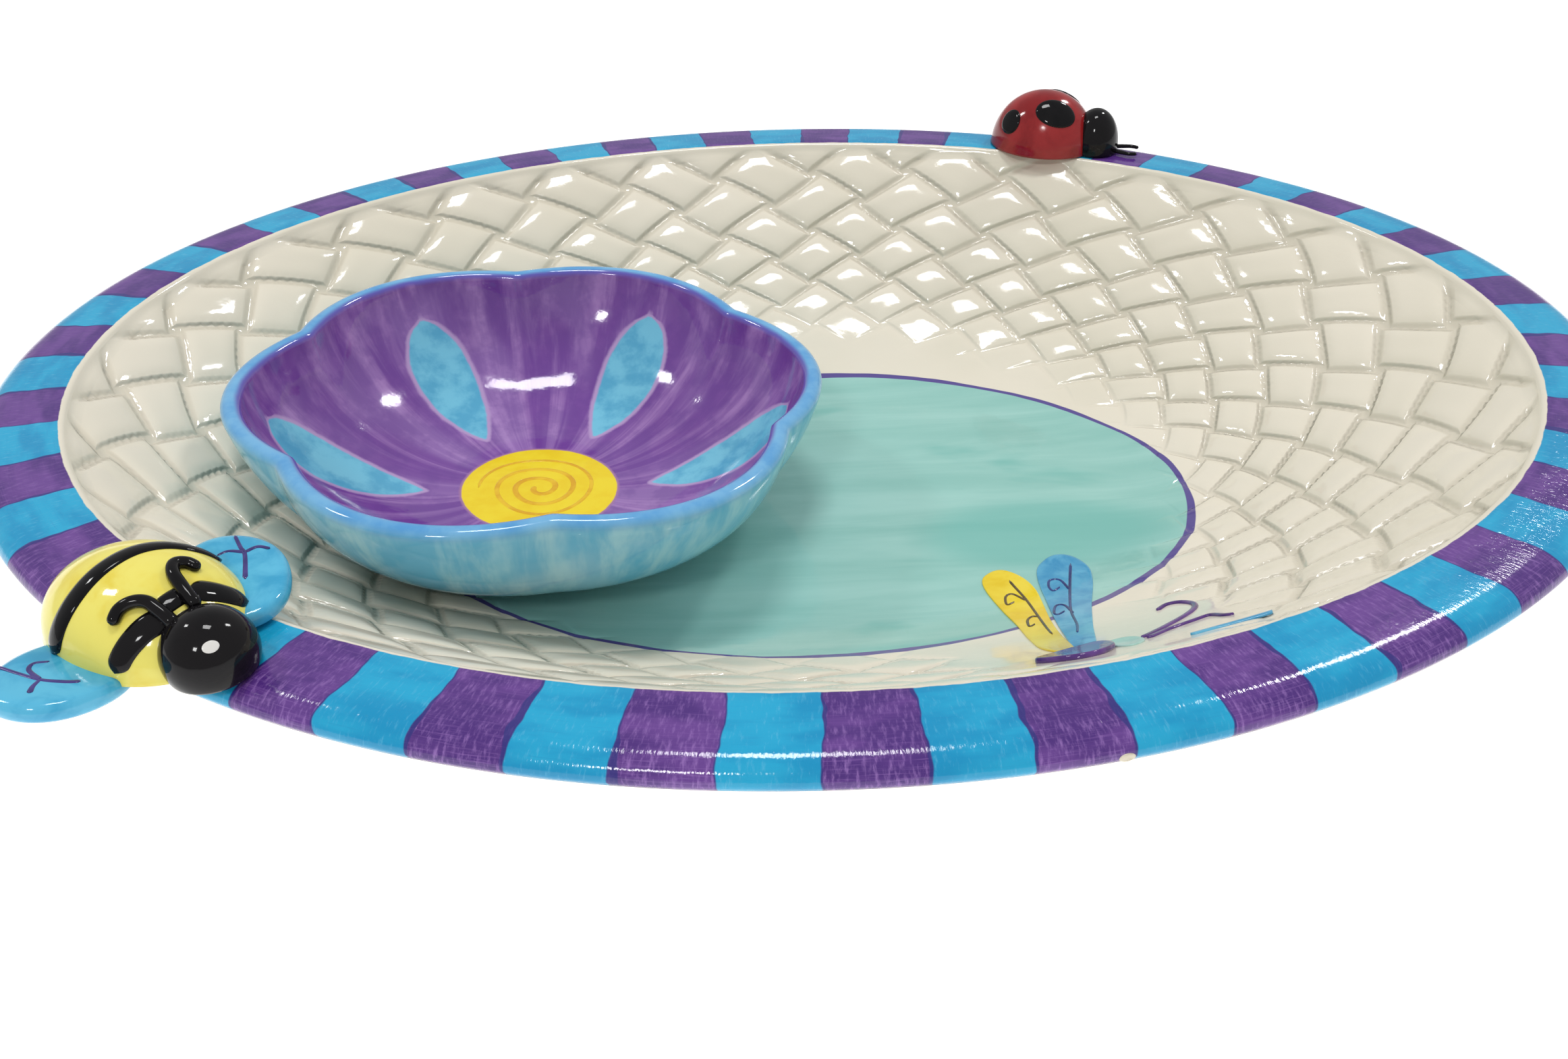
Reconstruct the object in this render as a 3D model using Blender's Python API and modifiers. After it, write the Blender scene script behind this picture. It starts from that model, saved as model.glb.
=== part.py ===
"""A chip and dip server: an oval tray with a bee and a ladybug on its rim, and a loose dip bowl.

Units are metres and +Z is up.  The origin is under the middle of the tray, on the surface that the
tray stands on, and X runs along the tray's long axis.  The dip bowl is a separate piece that stands
on the tray's floor, left of the middle, leaning a little on the tray's rising wall.
"""
import math

import bmesh
import bpy
from mathutils import Matrix, Vector

# The tray
TRAY_HALF_LENGTH = 0.200
TRAY_HALF_WIDTH = 0.154
TRAY_HEIGHT = 0.058
RIM_WIDTH = 0.0200
RIM_SHOULDER_WIDTH = 0.0065
RIM_SHOULDER_DROP = 0.0042
RIM_EDGE_THICKNESS = 0.0062
RIM_LIP_RADIUS = 0.0015
FLOOR_HALF_LENGTH = 0.083
FLOOR_HALF_WIDTH = 0.047
FLOOR_Z = 0.0075
WALL_RUN_OUTSIDE = 0.0045
UNDERSIDE_Z = 0.0026
FOOT_WIDTH = 0.0060
OVAL_STEPS = 72

# The dip bowl, in its own upright frame with its origin under the middle of its foot
BOWL_CENTRE = (-0.0731, -0.0037)
BOWL_TILT_X = 2.2
BOWL_TILT_Y = 3.2
BOWL_HEIGHT = 0.0395
BOWL_RADIUS = 0.0755
BOWL_LOBES = 6
BOWL_LOBE_DEPTH = 0.0062
BOWL_LOBE_TURN = 8.9
BOWL_FOOT_RADIUS = 0.0260
BOWL_FOOT_WIDTH = 0.0045
BOWL_FOOT_HEIGHT = 0.0012
BOWL_INNER_FLOOR_RADIUS = 0.0215
BOWL_INNER_FLOOR_Z = 0.0052
BOWL_LIP = 0.0050
LOBE_STEPS = 12

# The bee, placed on the rim by the oval's angle and by how far inside the edge it sits
BEE_ANGLE = -133.0
BEE_INSET = 0.0075
BEE_BODY = (0.0215, 0.0165, 0.0133)
BEE_HEAD = (0.0086, 0.0086, 0.0086)
BEE_HEAD_CENTRE = (0.0204, -0.0019, 0.0030)
# Each wing's centre (its underside), half axes, turn about Z and tilt about X in degrees
BEE_WINGS = {
    "bee_wing_inner": ((0.0060, 0.0143, 0.0), (0.0150, 0.0110), -25.0, 0.0),
    "bee_wing_outer": ((0.0012, -0.0190, -0.0014), (0.0108, 0.0130), 0.0, -12.0),
}
WING_THICKNESS = 0.0040
WING_ROUNDING = 0.0014
BEE_ANTENNA_RADIUS = 0.0014
BEE_ANTENNA_ROUTES = {
    "bee_antenna_left": ((15.0, 0.9), (12.2, 1.5), (8.7, 2.6), (6.7, 4.4), (7.3, 6.4), (9.6, 7.2)),
    "bee_antenna_right": ((15.0, -4.2), (13.0, -4.3), (10.3, -4.6), (8.4, -6.0), (7.4, -8.2), (7.9, -10.6)),
}

# The ladybug, facing the other way round the rim
LADYBUG_ANGLE = 62.0
LADYBUG_INSET = 0.0100
LADYBUG_BODY = (0.0172, 0.0150, 0.0175)
LADYBUG_HEAD = (0.0078, 0.0088, 0.0118)
LADYBUG_HEAD_CENTRE = (0.0170, 0.0000, 0.0015)
LADYBUG_ANTENNA_RADIUS = 0.0007
LADYBUG_ANTENNA_ROUTES = {
    "ladybug_antenna_left": ((23.6, 2.0), (26.4, 3.0), (29.0, 3.6), (31.4, 3.0)),
    "ladybug_antenna_right": ((23.6, -2.0), (26.4, -3.0), (29.0, -3.6), (31.4, -3.0)),
}

# Every piece stands this far off the piece it is joined to or rests on
GAP = 0.0003
MM = 0.001

# Colour, roughness and metallic value of each glaze
GLAZES = {
    "white_glaze": ((0.86, 0.83, 0.74), 0.12, 0.0),
    "bowl_glaze": ((0.30, 0.13, 0.50), 0.10, 0.0),
    "yellow_glaze": ((0.90, 0.76, 0.16), 0.10, 0.0),
    "black_glaze": ((0.012, 0.012, 0.014), 0.08, 0.0),
    "wing_glaze": ((0.10, 0.50, 0.78), 0.10, 0.0),
    "red_glaze": ((0.55, 0.04, 0.04), 0.12, 0.0),
}


def start_empty():
    """Remove the objects of the open scene and make the two collections."""
    for thing in list(bpy.data.objects):
        bpy.data.objects.remove(thing, do_unlink=True)
    made = {}
    for name in ("chip_and_dip_server", "cutters"):
        made[name] = bpy.data.collections.new(name)
        bpy.context.scene.collection.children.link(made[name])
    return made["chip_and_dip_server"], made["cutters"]


def glaze(name):
    """The Principled material of one glaze, made on first use."""
    material = bpy.data.materials.get(name)
    if material is None:
        colour, roughness, metallic = GLAZES[name]
        material = bpy.data.materials.new(name)
        material.use_nodes = True
        shader = material.node_tree.nodes["Principled BSDF"]
        shader.inputs["Base Color"].default_value = (*colour, 1.0)
        shader.inputs["Roughness"].default_value = roughness
        shader.inputs["Metallic"].default_value = metallic
        material.diffuse_color = (*colour, 1.0)
    return material


def add_object(name, shape, collection, glaze_name=None, parent=None):
    """Link a mesh, given as a bmesh, as one named object."""
    mesh = bpy.data.meshes.new(name)
    bmesh.ops.recalc_face_normals(shape, faces=shape.faces)
    shape.to_mesh(mesh)
    shape.free()
    mesh.shade_smooth()
    mesh.set_sharp_from_angle(angle=math.radians(40))
    thing = bpy.data.objects.new(name, mesh)
    collection.objects.link(thing)
    thing.parent = parent
    if glaze_name:
        mesh.materials.append(glaze(glaze_name))
    return thing


def add_place(name, collection, location, rotation=(0.0, 0.0, 0.0)):
    """An empty that holds a group of pieces in place."""
    place = bpy.data.objects.new(name, None)
    collection.objects.link(place)
    place.location = location
    place.rotation_euler = rotation
    return place


def loft(outlines):
    """A closed body through a stack of unlike outlines, with its first and last outline filled."""
    shape = bmesh.new()
    loops = [[shape.verts.new(point) for point in outline] for outline in outlines]
    for lower, upper in zip(loops, loops[1:]):
        for step, corner in enumerate(lower):
            shape.faces.new((lower[step - 1], corner, upper[step], upper[step - 1]))
    shape.faces.new(loops[0])
    shape.faces.new(loops[-1])
    return shape


def oval(half_length, half_width, height):
    """A level oval outline."""
    angles = [math.tau * step / OVAL_STEPS for step in range(OVAL_STEPS)]
    return [Vector((half_length * math.cos(a), half_width * math.sin(a), height)) for a in angles]


def rim_oval(inset, height):
    """The oval that runs an even distance inside the tray's outermost edge."""
    return oval(TRAY_HALF_LENGTH - inset, TRAY_HALF_WIDTH - inset, height)


def wall_ovals(top_inset, top_z, floor_grow, bottom_z, steps):
    """Outlines down the tray's wall: steep under the rim, and level where it meets the floor."""
    outlines = []
    for step in range(1, steps + 1):
        run = step / steps
        half_length = (1 - run) * (TRAY_HALF_LENGTH - top_inset) + run * (FLOOR_HALF_LENGTH + floor_grow)
        half_width = (1 - run) * (TRAY_HALF_WIDTH - top_inset) + run * (FLOOR_HALF_WIDTH + floor_grow)
        drop = math.sin(run * math.pi / 2)
        outlines.append(oval(half_length, half_width, top_z + (bottom_z - top_z) * drop))
    return outlines


def tray_outlines():
    """The tray's section from the middle of its underside, round the rim, to its floor."""
    foot_ring = [
        oval(FLOOR_HALF_LENGTH - FOOT_WIDTH - 0.001, FLOOR_HALF_WIDTH - FOOT_WIDTH - 0.001, UNDERSIDE_Z),
        oval(FLOOR_HALF_LENGTH - FOOT_WIDTH, FLOOR_HALF_WIDTH - FOOT_WIDTH, 0.0),
        oval(FLOOR_HALF_LENGTH, FLOOR_HALF_WIDTH, 0.0),
    ]
    edge_bottom = TRAY_HEIGHT - RIM_EDGE_THICKNESS
    outside_inset = RIM_WIDTH - WALL_RUN_OUTSIDE
    outside = wall_ovals(outside_inset, edge_bottom, 0.0015, UNDERSIDE_Z, 7)
    outside.reverse()
    under_rim = [
        rim_oval(outside_inset - 0.0010, edge_bottom),
        rim_oval(0.0022, edge_bottom),
        rim_oval(0.0006, edge_bottom + 0.0006),
    ]
    shoulder = []
    for step in range(6):
        turn = step / 5 * math.pi / 2
        inset = RIM_SHOULDER_WIDTH * (1 - math.cos(turn))
        shoulder.append(rim_oval(inset, TRAY_HEIGHT - RIM_SHOULDER_DROP * (1 - math.sin(turn))))
    lip = [
        rim_oval(RIM_WIDTH - RIM_LIP_RADIUS, TRAY_HEIGHT),
        rim_oval(RIM_WIDTH - 0.3 * RIM_LIP_RADIUS, TRAY_HEIGHT - 0.3 * RIM_LIP_RADIUS),
    ]
    inside = wall_ovals(RIM_WIDTH, TRAY_HEIGHT - RIM_LIP_RADIUS, 0.0, FLOOR_Z, 9)
    return foot_ring + outside + under_rim + shoulder + lip + inside


def bowl_outline(radius, height, lobing):
    """A six-lobed outline; lobing runs from 0, round, to 1, the full depth of the rim's lobes."""
    outline = []
    steps = BOWL_LOBES * LOBE_STEPS
    for step in range(steps):
        angle = math.tau * step / steps
        pinch = 1 - abs(math.cos(BOWL_LOBES / 2 * angle))
        reach = radius - BOWL_LOBE_DEPTH * lobing * pinch
        turned = angle + math.radians(BOWL_LOBE_TURN)
        outline.append(Vector((reach * math.cos(turned), reach * math.sin(turned), height)))
    return outline


def bowl_side(foot_radius, foot_z, rim_radius, rim_z, steps):
    """Outlines up the bowl's side, flaring fast from the foot and rising ever steeper to the rim."""
    outlines = []
    for step in range(steps + 1):
        turn = step / steps * math.radians(78)
        run = math.sin(turn) / math.sin(math.radians(78))
        rise = (1 - math.cos(turn)) / (1 - math.cos(math.radians(78)))
        radius = foot_radius + (rim_radius - foot_radius) * run
        outlines.append(bowl_outline(radius, foot_z + (rim_z - foot_z) * rise, rise))
    return outlines


def bowl_outlines():
    """The dip bowl's section from the middle of its underside, over the lip, to its inner floor."""
    inner_foot = BOWL_FOOT_RADIUS - BOWL_FOOT_WIDTH
    foot_ring = [
        bowl_outline(inner_foot - 0.0008, BOWL_FOOT_HEIGHT, 0.0),
        bowl_outline(inner_foot, 0.0, 0.0),
        bowl_outline(BOWL_FOOT_RADIUS, 0.0, 0.0),
    ]
    outer_rim_z = BOWL_HEIGHT - 0.4 * BOWL_LIP
    outside = bowl_side(BOWL_FOOT_RADIUS + 0.0010, BOWL_FOOT_HEIGHT, BOWL_RADIUS, outer_rim_z, 7)
    lip = [
        bowl_outline(BOWL_RADIUS - 0.15 * BOWL_LIP, BOWL_HEIGHT - 0.1 * BOWL_LIP, 1.0),
        bowl_outline(BOWL_RADIUS - 0.5 * BOWL_LIP, BOWL_HEIGHT, 1.0),
        bowl_outline(BOWL_RADIUS - 0.85 * BOWL_LIP, BOWL_HEIGHT - 0.1 * BOWL_LIP, 1.0),
    ]
    inside = bowl_side(BOWL_INNER_FLOOR_RADIUS, BOWL_INNER_FLOOR_Z, BOWL_RADIUS - BOWL_LIP, outer_rim_z, 7)
    inside.reverse()
    return foot_ring + outside + lip + inside


def ellipsoid(half_axes, centre=(0.0, 0.0, 0.0), rings=16, grow=0.0):
    """An ellipsoid, on request larger all round."""
    shape = bmesh.new()
    bmesh.ops.create_uvsphere(shape, u_segments=2 * rings, v_segments=rings, radius=1.0)
    size = Matrix.Diagonal([axis + grow for axis in half_axes]).to_4x4()
    bmesh.ops.transform(shape, matrix=Matrix.Translation(centre) @ size, verts=shape.verts)
    return shape


def flat_bottomed(shape, level=0.0):
    """Cut a body level at its seat and close the cut."""
    geometry = shape.verts[:] + shape.edges[:] + shape.faces[:]
    bmesh.ops.bisect_plane(
        shape, geom=geometry, plane_co=(0, 0, level), plane_no=(0, 0, 1), clear_inner=True
    )
    bmesh.ops.edgenet_fill(shape, edges=[edge for edge in shape.edges if edge.is_boundary])
    return shape


def add_cutter(name, shape, collection, parent):
    """An object that only shapes its neighbours."""
    cutter = add_object(name, shape, collection, parent=parent)
    cutter.hide_render = True
    cutter.display_type = "WIRE"
    return cutter


def cut_by(thing, cutters):
    """Take each cutter out of an object."""
    for cutter in cutters:
        cut = thing.modifiers.new("clear_of_" + cutter.name, "BOOLEAN")
        cut.operation = "DIFFERENCE"
        cut.solver = "EXACT"
        cut.object = cutter


def rim_place(name, collection, angle, inset, turn):
    """An empty on the rim's top, its X along the rim towards the insect's head."""
    half_length = TRAY_HALF_LENGTH - inset
    half_width = TRAY_HALF_WIDTH - inset
    a = math.radians(angle)
    heading = math.atan2(half_width * math.cos(a), -half_length * math.sin(a)) + turn
    location = (half_length * math.cos(a), half_width * math.sin(a), TRAY_HEIGHT + GAP)
    return add_place(name, collection, location, (0.0, 0.0, heading))


def dome_height(x, y, half_axes):
    """Height of an ellipsoid's upper side over a point of its seat."""
    return half_axes[2] * math.sqrt(max(0.0, 1 - (x / half_axes[0]) ** 2 - (y / half_axes[1]) ** 2))


def add_rod(name, points, radius, collection, glaze_name, place):
    """A round clay rod with rounded ends along a smooth curve, as a mesh."""
    curve = bpy.data.curves.new(name, "CURVE")
    curve.dimensions = "3D"
    curve.bevel_depth = radius
    curve.bevel_resolution = 2
    curve.use_fill_caps = True
    curve.resolution_u = 5
    spline = curve.splines.new("BEZIER")
    spline.bezier_points.add(len(points) - 1)
    for knot, point in zip(spline.bezier_points, points):
        knot.co = point
        knot.handle_left_type = "AUTO"
        knot.handle_right_type = "AUTO"
    spline.bezier_points[0].radius = 0.85
    spline.bezier_points[-1].radius = 0.75
    drawn = bpy.data.objects.new(name + "_route", curve)
    collection.objects.link(drawn)
    bpy.context.view_layer.update()
    evaluated = drawn.evaluated_get(bpy.context.evaluated_depsgraph_get())
    mesh = bpy.data.meshes.new_from_object(evaluated)
    bpy.data.objects.remove(drawn, do_unlink=True)
    shape = bmesh.new()
    shape.from_mesh(mesh)
    bpy.data.meshes.remove(mesh)
    bmesh.ops.remove_doubles(shape, verts=shape.verts, dist=1e-6)
    return add_object(name, shape, collection, glaze_name, place)


def add_wing(name, collection, place):
    """A flat oval wing with rounded edges, level or rising away from the body."""
    centre, half_axes, turn, tilt = BEE_WINGS[name]
    shape = bmesh.new()
    bmesh.ops.create_cone(
        shape, cap_ends=True, segments=40, radius1=1.0, radius2=1.0, depth=WING_THICKNESS
    )
    size = Matrix.Diagonal((*half_axes, 1.0, 1.0))
    lift = Matrix.Translation((0.0, 0.0, WING_THICKNESS / 2))
    lean = Matrix.Rotation(math.radians(tilt), 4, "X") @ Matrix.Rotation(math.radians(turn), 4, "Z")
    bmesh.ops.transform(shape, matrix=Matrix.Translation(centre) @ lean @ lift @ size, verts=shape.verts)
    wing = add_object(name, shape, collection, "wing_glaze", place)
    rounding = wing.modifiers.new("rounded_edges", "BEVEL")
    rounding.width = WING_ROUNDING
    rounding.segments = 3
    rounding.limit_method = "ANGLE"
    rounding.angle_limit = math.radians(60)
    return wing


def add_tray(collection):
    return add_object("tray", loft(tray_outlines()), collection, "white_glaze")


def add_dip_bowl(collection):
    """The loose bowl, its foot's lowest edge just clear of the tray's floor."""
    tilt = math.radians(math.hypot(BOWL_TILT_X, BOWL_TILT_Y))
    height = FLOOR_Z + GAP + BOWL_FOOT_RADIUS * math.sin(tilt)
    lean = (math.radians(-BOWL_TILT_X), math.radians(BOWL_TILT_Y), 0.0)
    place = add_place("dip_bowl_place", collection, (*BOWL_CENTRE, height), lean)
    return add_object("dip_bowl", loft(bowl_outlines()), collection, "bowl_glaze", place)


def add_bee(collection, cutters):
    """The bee: a domed body, a round head, two flat wings and two rods for antennae."""
    place = rim_place("bee_place", collection, BEE_ANGLE, BEE_INSET, 0.0)
    add_object("bee_body", flat_bottomed(ellipsoid(BEE_BODY)), collection, "yellow_glaze", place)
    room = add_cutter("bee_body_room", ellipsoid(BEE_BODY, grow=GAP, rings=16), cutters, place)

    head_shape = flat_bottomed(ellipsoid(BEE_HEAD, BEE_HEAD_CENTRE, rings=14))
    head = add_object("bee_head", head_shape, collection, "black_glaze", place)
    cut_by(head, [room])
    head_room_shape = ellipsoid(BEE_HEAD, BEE_HEAD_CENTRE, rings=14, grow=GAP)
    head_room = add_cutter("bee_head_room", head_room_shape, cutters, place)

    for name in BEE_WINGS:
        cut_by(add_wing(name, collection, place), [room])
    for name, route in BEE_ANTENNA_ROUTES.items():
        points = []
        for x, y in route:
            lift = dome_height(x * MM, y * MM, BEE_BODY) + 0.6 * BEE_ANTENNA_RADIUS
            points.append((x * MM, y * MM, lift))
        rod = add_rod(name, points, BEE_ANTENNA_RADIUS, collection, "black_glaze", place)
        cut_by(rod, [room, head_room])


def add_ladybug(collection, cutters):
    """The ladybug: a high domed body, a head, and two thin antennae that lie on the rim."""
    place = rim_place("ladybug_place", collection, LADYBUG_ANGLE, LADYBUG_INSET, math.pi)
    body_shape = flat_bottomed(ellipsoid(LADYBUG_BODY))
    add_object("ladybug_body", body_shape, collection, "red_glaze", place)
    room = add_cutter("ladybug_body_room", ellipsoid(LADYBUG_BODY, grow=GAP, rings=16), cutters, place)

    head_shape = flat_bottomed(ellipsoid(LADYBUG_HEAD, LADYBUG_HEAD_CENTRE, rings=14))
    head = add_object("ladybug_head", head_shape, collection, "black_glaze", place)
    cut_by(head, [room])
    head_room_shape = ellipsoid(LADYBUG_HEAD, LADYBUG_HEAD_CENTRE, rings=14, grow=GAP)
    head_room = add_cutter("ladybug_head_room", head_room_shape, cutters, place)

    for name, route in LADYBUG_ANTENNA_ROUTES.items():
        points = [(x * MM, y * MM, LADYBUG_ANTENNA_RADIUS) for x, y in route]
        rod = add_rod(name, points, LADYBUG_ANTENNA_RADIUS, collection, "black_glaze", place)
        cut_by(rod, [head_room])


def main():
    server, cutters = start_empty()
    add_tray(server)
    add_dip_bowl(server)
    add_bee(server, cutters)
    add_ladybug(server, cutters)


main()
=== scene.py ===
"""Looks of the chip and dip server: hand-painted, clear-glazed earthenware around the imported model.

Units are metres, as in the frame; names ending in _MM hold millimetres.  Every solid of the frame is
replaced by a finer piece of the same shape: the tray gets its pressed basket weave, the insects get
their painted marks, and the dip bowl gets its petals.  Painted areas come from smooth fields stored on
the meshes and read by the materials, and single brush strokes are thin raised strips of glaze.
"""
import math

import bpy
import numpy as np
from mathutils import Euler, Matrix, Vector


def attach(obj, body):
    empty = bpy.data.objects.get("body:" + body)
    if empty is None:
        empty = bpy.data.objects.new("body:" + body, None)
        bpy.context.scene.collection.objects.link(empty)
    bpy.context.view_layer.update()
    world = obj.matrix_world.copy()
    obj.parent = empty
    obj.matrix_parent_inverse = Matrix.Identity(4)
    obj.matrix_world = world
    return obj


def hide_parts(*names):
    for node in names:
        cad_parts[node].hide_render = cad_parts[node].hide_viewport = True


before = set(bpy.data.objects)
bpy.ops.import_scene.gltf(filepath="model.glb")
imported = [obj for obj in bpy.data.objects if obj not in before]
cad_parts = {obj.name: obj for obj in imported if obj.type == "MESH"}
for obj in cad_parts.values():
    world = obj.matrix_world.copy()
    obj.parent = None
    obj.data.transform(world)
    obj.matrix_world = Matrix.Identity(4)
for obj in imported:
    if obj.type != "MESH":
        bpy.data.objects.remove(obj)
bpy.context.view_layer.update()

MM = 0.001
TAU = math.tau
TRAY_BODY = "tray_with_insects"
BOWL_BODY = "loose_bowl"

# The tray's section, as in the frame
TRAY_HALF_LENGTH = 0.200
TRAY_HALF_WIDTH = 0.154
TRAY_HEIGHT = 0.058
RIM_WIDTH = 0.0200
RIM_SHOULDER_WIDTH = 0.0065
RIM_SHOULDER_DROP = 0.0042
RIM_EDGE_THICKNESS = 0.0062
RIM_LIP_RADIUS = 0.0015
FLOOR_HALF_LENGTH = 0.083
FLOOR_HALF_WIDTH = 0.047
FLOOR_Z = 0.0075
WALL_RUN_OUTSIDE = 0.0045
UNDERSIDE_Z = 0.0026
FOOT_WIDTH = 0.0060
TRAY_COLUMNS = 720
WALL_ROWS = 76

# The weave pressed into the tray's wall
WEAVE_PERIODS = 30
WEAVE_PHASE = math.radians(91.3)
WEAVE_FIRST_ROW_MM = 9.0
WEAVE_ROW_RATE = 0.0447
WEAVE_ROW_GROWTH = 0.000139
STRAND_WIDTH = 0.86
WEAVE_TOP = 0.0003
WEAVE_DEPTH = 0.0015
WEAVE_BEVEL = 0.0009
WEAVE_END_DIP = 0.5
WEAVE_END_BACK = 0.70
WEAVE_END_SIDES = 0.90

# The painted rim and floor
STRIPES = 31
STRIPE_PHASE = 0.524
PAINT_START_MM = -0.2
PAINT_END_MM = 27.0
PAD_CENTRE = (0.0, -0.0072)
PAD_HALF_AXES = (0.104, 0.0692)
PAD_POOL_CENTRE = (0.062, -0.024)
PAD_POOL_HALF_AXES = (0.034, 0.015)

# The dragonfly painted at the front right, where the wall is left smooth
DRAGONFLY_CENTRE = (0.056, -0.088)
DRAGONFLY_REACH = 0.026

# The dip bowl, in its own upright frame
BOWL_CENTRE = (-0.0731, -0.0037)
BOWL_TILT_X = 2.2
BOWL_TILT_Y = 3.2
BOWL_HEIGHT = 0.0395
BOWL_RADIUS = 0.0755
BOWL_LOBES = 6
BOWL_LOBE_DEPTH = 0.0062
BOWL_LOBE_TURN = 8.9
BOWL_FOOT_RADIUS = 0.0260
BOWL_FOOT_WIDTH = 0.0045
BOWL_FOOT_HEIGHT = 0.0012
BOWL_INNER_FLOOR_RADIUS = 0.0215
BOWL_INNER_FLOOR_Z = 0.0052
BOWL_LIP = 0.0050
BOWL_SIDE_TURN = math.radians(78)
BOWL_COLUMNS = 360
PETAL_TURN = math.radians(4.5)
PETAL_REACH_MM = (30.0, 66.5)
PETAL_HALF_WIDTH_MM = 8.8
PETAL_WIDEST = 0.70
DISC_RADIUS_MM = 20.8

# The bee and the ladybug, placed on the rim as in the frame
GAP = 0.0003
BEE_ANGLE = -133.0
BEE_INSET = 0.0075
BEE_BODY = (0.0215, 0.0165, 0.0133)
BEE_HEAD = (0.0086, 0.0086, 0.0086)
BEE_HEAD_CENTRE = (0.0204, -0.0019, 0.0030)
# Each wing's centre (its underside), half axes, turn about Z and tilt about X in degrees
BEE_WINGS = {
    "bee_wing_inner": ((0.0060, 0.0143, 0.0), (0.0150, 0.0110), -25.0, 0.0),
    "bee_wing_outer": ((0.0012, -0.0190, -0.0014), (0.0108, 0.0130), 0.0, -12.0),
}
WING_THICKNESS = 0.0040
BEE_ANTENNA_RADIUS = 0.0014
BEE_ANTENNA_ROUTES = {
    "bee_antenna_left": ((15.0, 0.9), (12.2, 1.5), (8.7, 2.6), (6.7, 4.4), (7.3, 6.4), (9.6, 7.2)),
    "bee_antenna_right": ((15.0, -4.2), (13.0, -4.3), (10.3, -4.6), (8.4, -6.0), (7.4, -8.2), (7.9, -10.6)),
}
LADYBUG_ANGLE = 62.0
LADYBUG_INSET = 0.0100
LADYBUG_BODY = (0.0172, 0.0150, 0.0175)
LADYBUG_HEAD = (0.0078, 0.0088, 0.0118)
LADYBUG_HEAD_CENTRE = (0.0170, 0.0000, 0.0015)
LADYBUG_ANTENNA_RADIUS = 0.0007
LADYBUG_ANTENNA_ROUTES = {
    "ladybug_antenna_left": ((23.6, 2.0), (26.4, 3.0), (29.0, 3.6), (31.4, 3.0)),
    "ladybug_antenna_right": ((23.6, -2.0), (26.4, -3.0), (29.0, -3.6), (31.4, -3.0)),
}

# The camera
CAMERA_PLACE = (-0.0242, -0.3049, 0.2170)
CAMERA_TURN = (53.964, 0.416, -3.632)
CAMERA_LENS_MM = 30.52
CAMERA_SENSOR_MM = 36.0

# The room's light, and each soft box's place, aim, size and watts
ROOM_LIGHT = 0.47
LIGHTS = (
    ("overhead", (0.0, 0.15, 1.5), (0.0, 0.0, 0.0), (0.36, 0.24), 5.2),
    ("behind_camera", (-0.5, -1.3, 1.3), (0.0, 0.0, 0.03), (0.22, 0.2), 5.0),
    ("lamp_right", (0.9, 0.8, 1.2), (0.0, 0.0, 0.03), (0.14, 0.26), 4.5),
    ("lamp_left", (-1.0, 0.35, 1.2), (0.0, 0.0, 0.03), (0.14, 0.2), 2.5),
)
# The floor glows like a light table, which keeps it near white under the tray
FLOOR_GLOW = 0.50


# ---------------- shapes

def unit(vectors):
    """Vectors scaled to length one."""
    return vectors / np.maximum(np.linalg.norm(vectors, axis=-1, keepdims=True), 1e-12)


def even_turns(count):
    """Angles at even steps round a circle, one to a row."""
    return np.arange(count)[:, None] / count * TAU


def fade(value, low, high):
    """0 at low and 1 at high, with a smooth step between."""
    t = np.clip((np.asarray(value, float) - low) / (high - low), 0.0, 1.0)
    return t * t * (3 - 2 * t)


def ripple(angle, seed, harmonics=(2, 3, 5, 7, 11)):
    """A smooth hand-made unevenness round a closed outline, between about -1 and 1."""
    rng = np.random.default_rng(seed)
    total = 0.0
    for harmonic in harmonics:
        total = total + rng.uniform(0.4, 1.0) * np.sin(harmonic * angle + rng.uniform(0, TAU))
    return total / len(harmonics) * 1.4


def grid_faces(rows, columns):
    """Faces of a closed skin through rings, with a middle point closing each end."""
    lower = np.arange(rows - 1)[:, None] * columns
    here = np.arange(columns)[None, :]
    after = (here + 1) % columns
    quads = np.stack(
        [lower + here, lower + after, lower + columns + after, lower + columns + here], axis=-1
    ).reshape(-1, 4)
    first, last = rows * columns, rows * columns + 1
    ring = np.arange(columns)
    nxt = (ring + 1) % columns
    top = (rows - 1) * columns
    start_fan = np.stack([np.full(columns, first), nxt, ring], axis=-1)
    end_fan = np.stack([top + ring, top + nxt, np.full(columns, last)], axis=-1)
    return quads, start_fan, end_fan


def skin(rings):
    """A closed mesh, as points and faces, through an array of rings of equal length."""
    rows, columns, _ = rings.shape
    points = np.vstack([rings.reshape(-1, 3), rings[0].mean(axis=0), rings[-1].mean(axis=0)])
    quads, start_fan, end_fan = grid_faces(rows, columns)
    a, b, c, d = (points[quads[:, k]] for k in range(4))
    volume = np.einsum("ij,ij->", a, np.cross(b, c)) + np.einsum("ij,ij->", a, np.cross(c, d))
    faces = quads.tolist() + start_fan.tolist() + end_fan.tolist()
    if volume < 0:
        faces = [face[::-1] for face in faces]
    return points, faces


def joined(parts):
    """Several meshes as one list of points and faces."""
    points, faces, offset = [], [], 0
    for part_points, part_faces in parts:
        points.append(part_points)
        faces += [[corner + offset for corner in face] for face in part_faces]
        offset += len(part_points)
    return np.vstack(points), faces


def put_in_scene(name, data):
    """A new object in the scene, made from its data."""
    thing = bpy.data.objects.new(name, data)
    bpy.context.scene.collection.objects.link(thing)
    return thing


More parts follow.
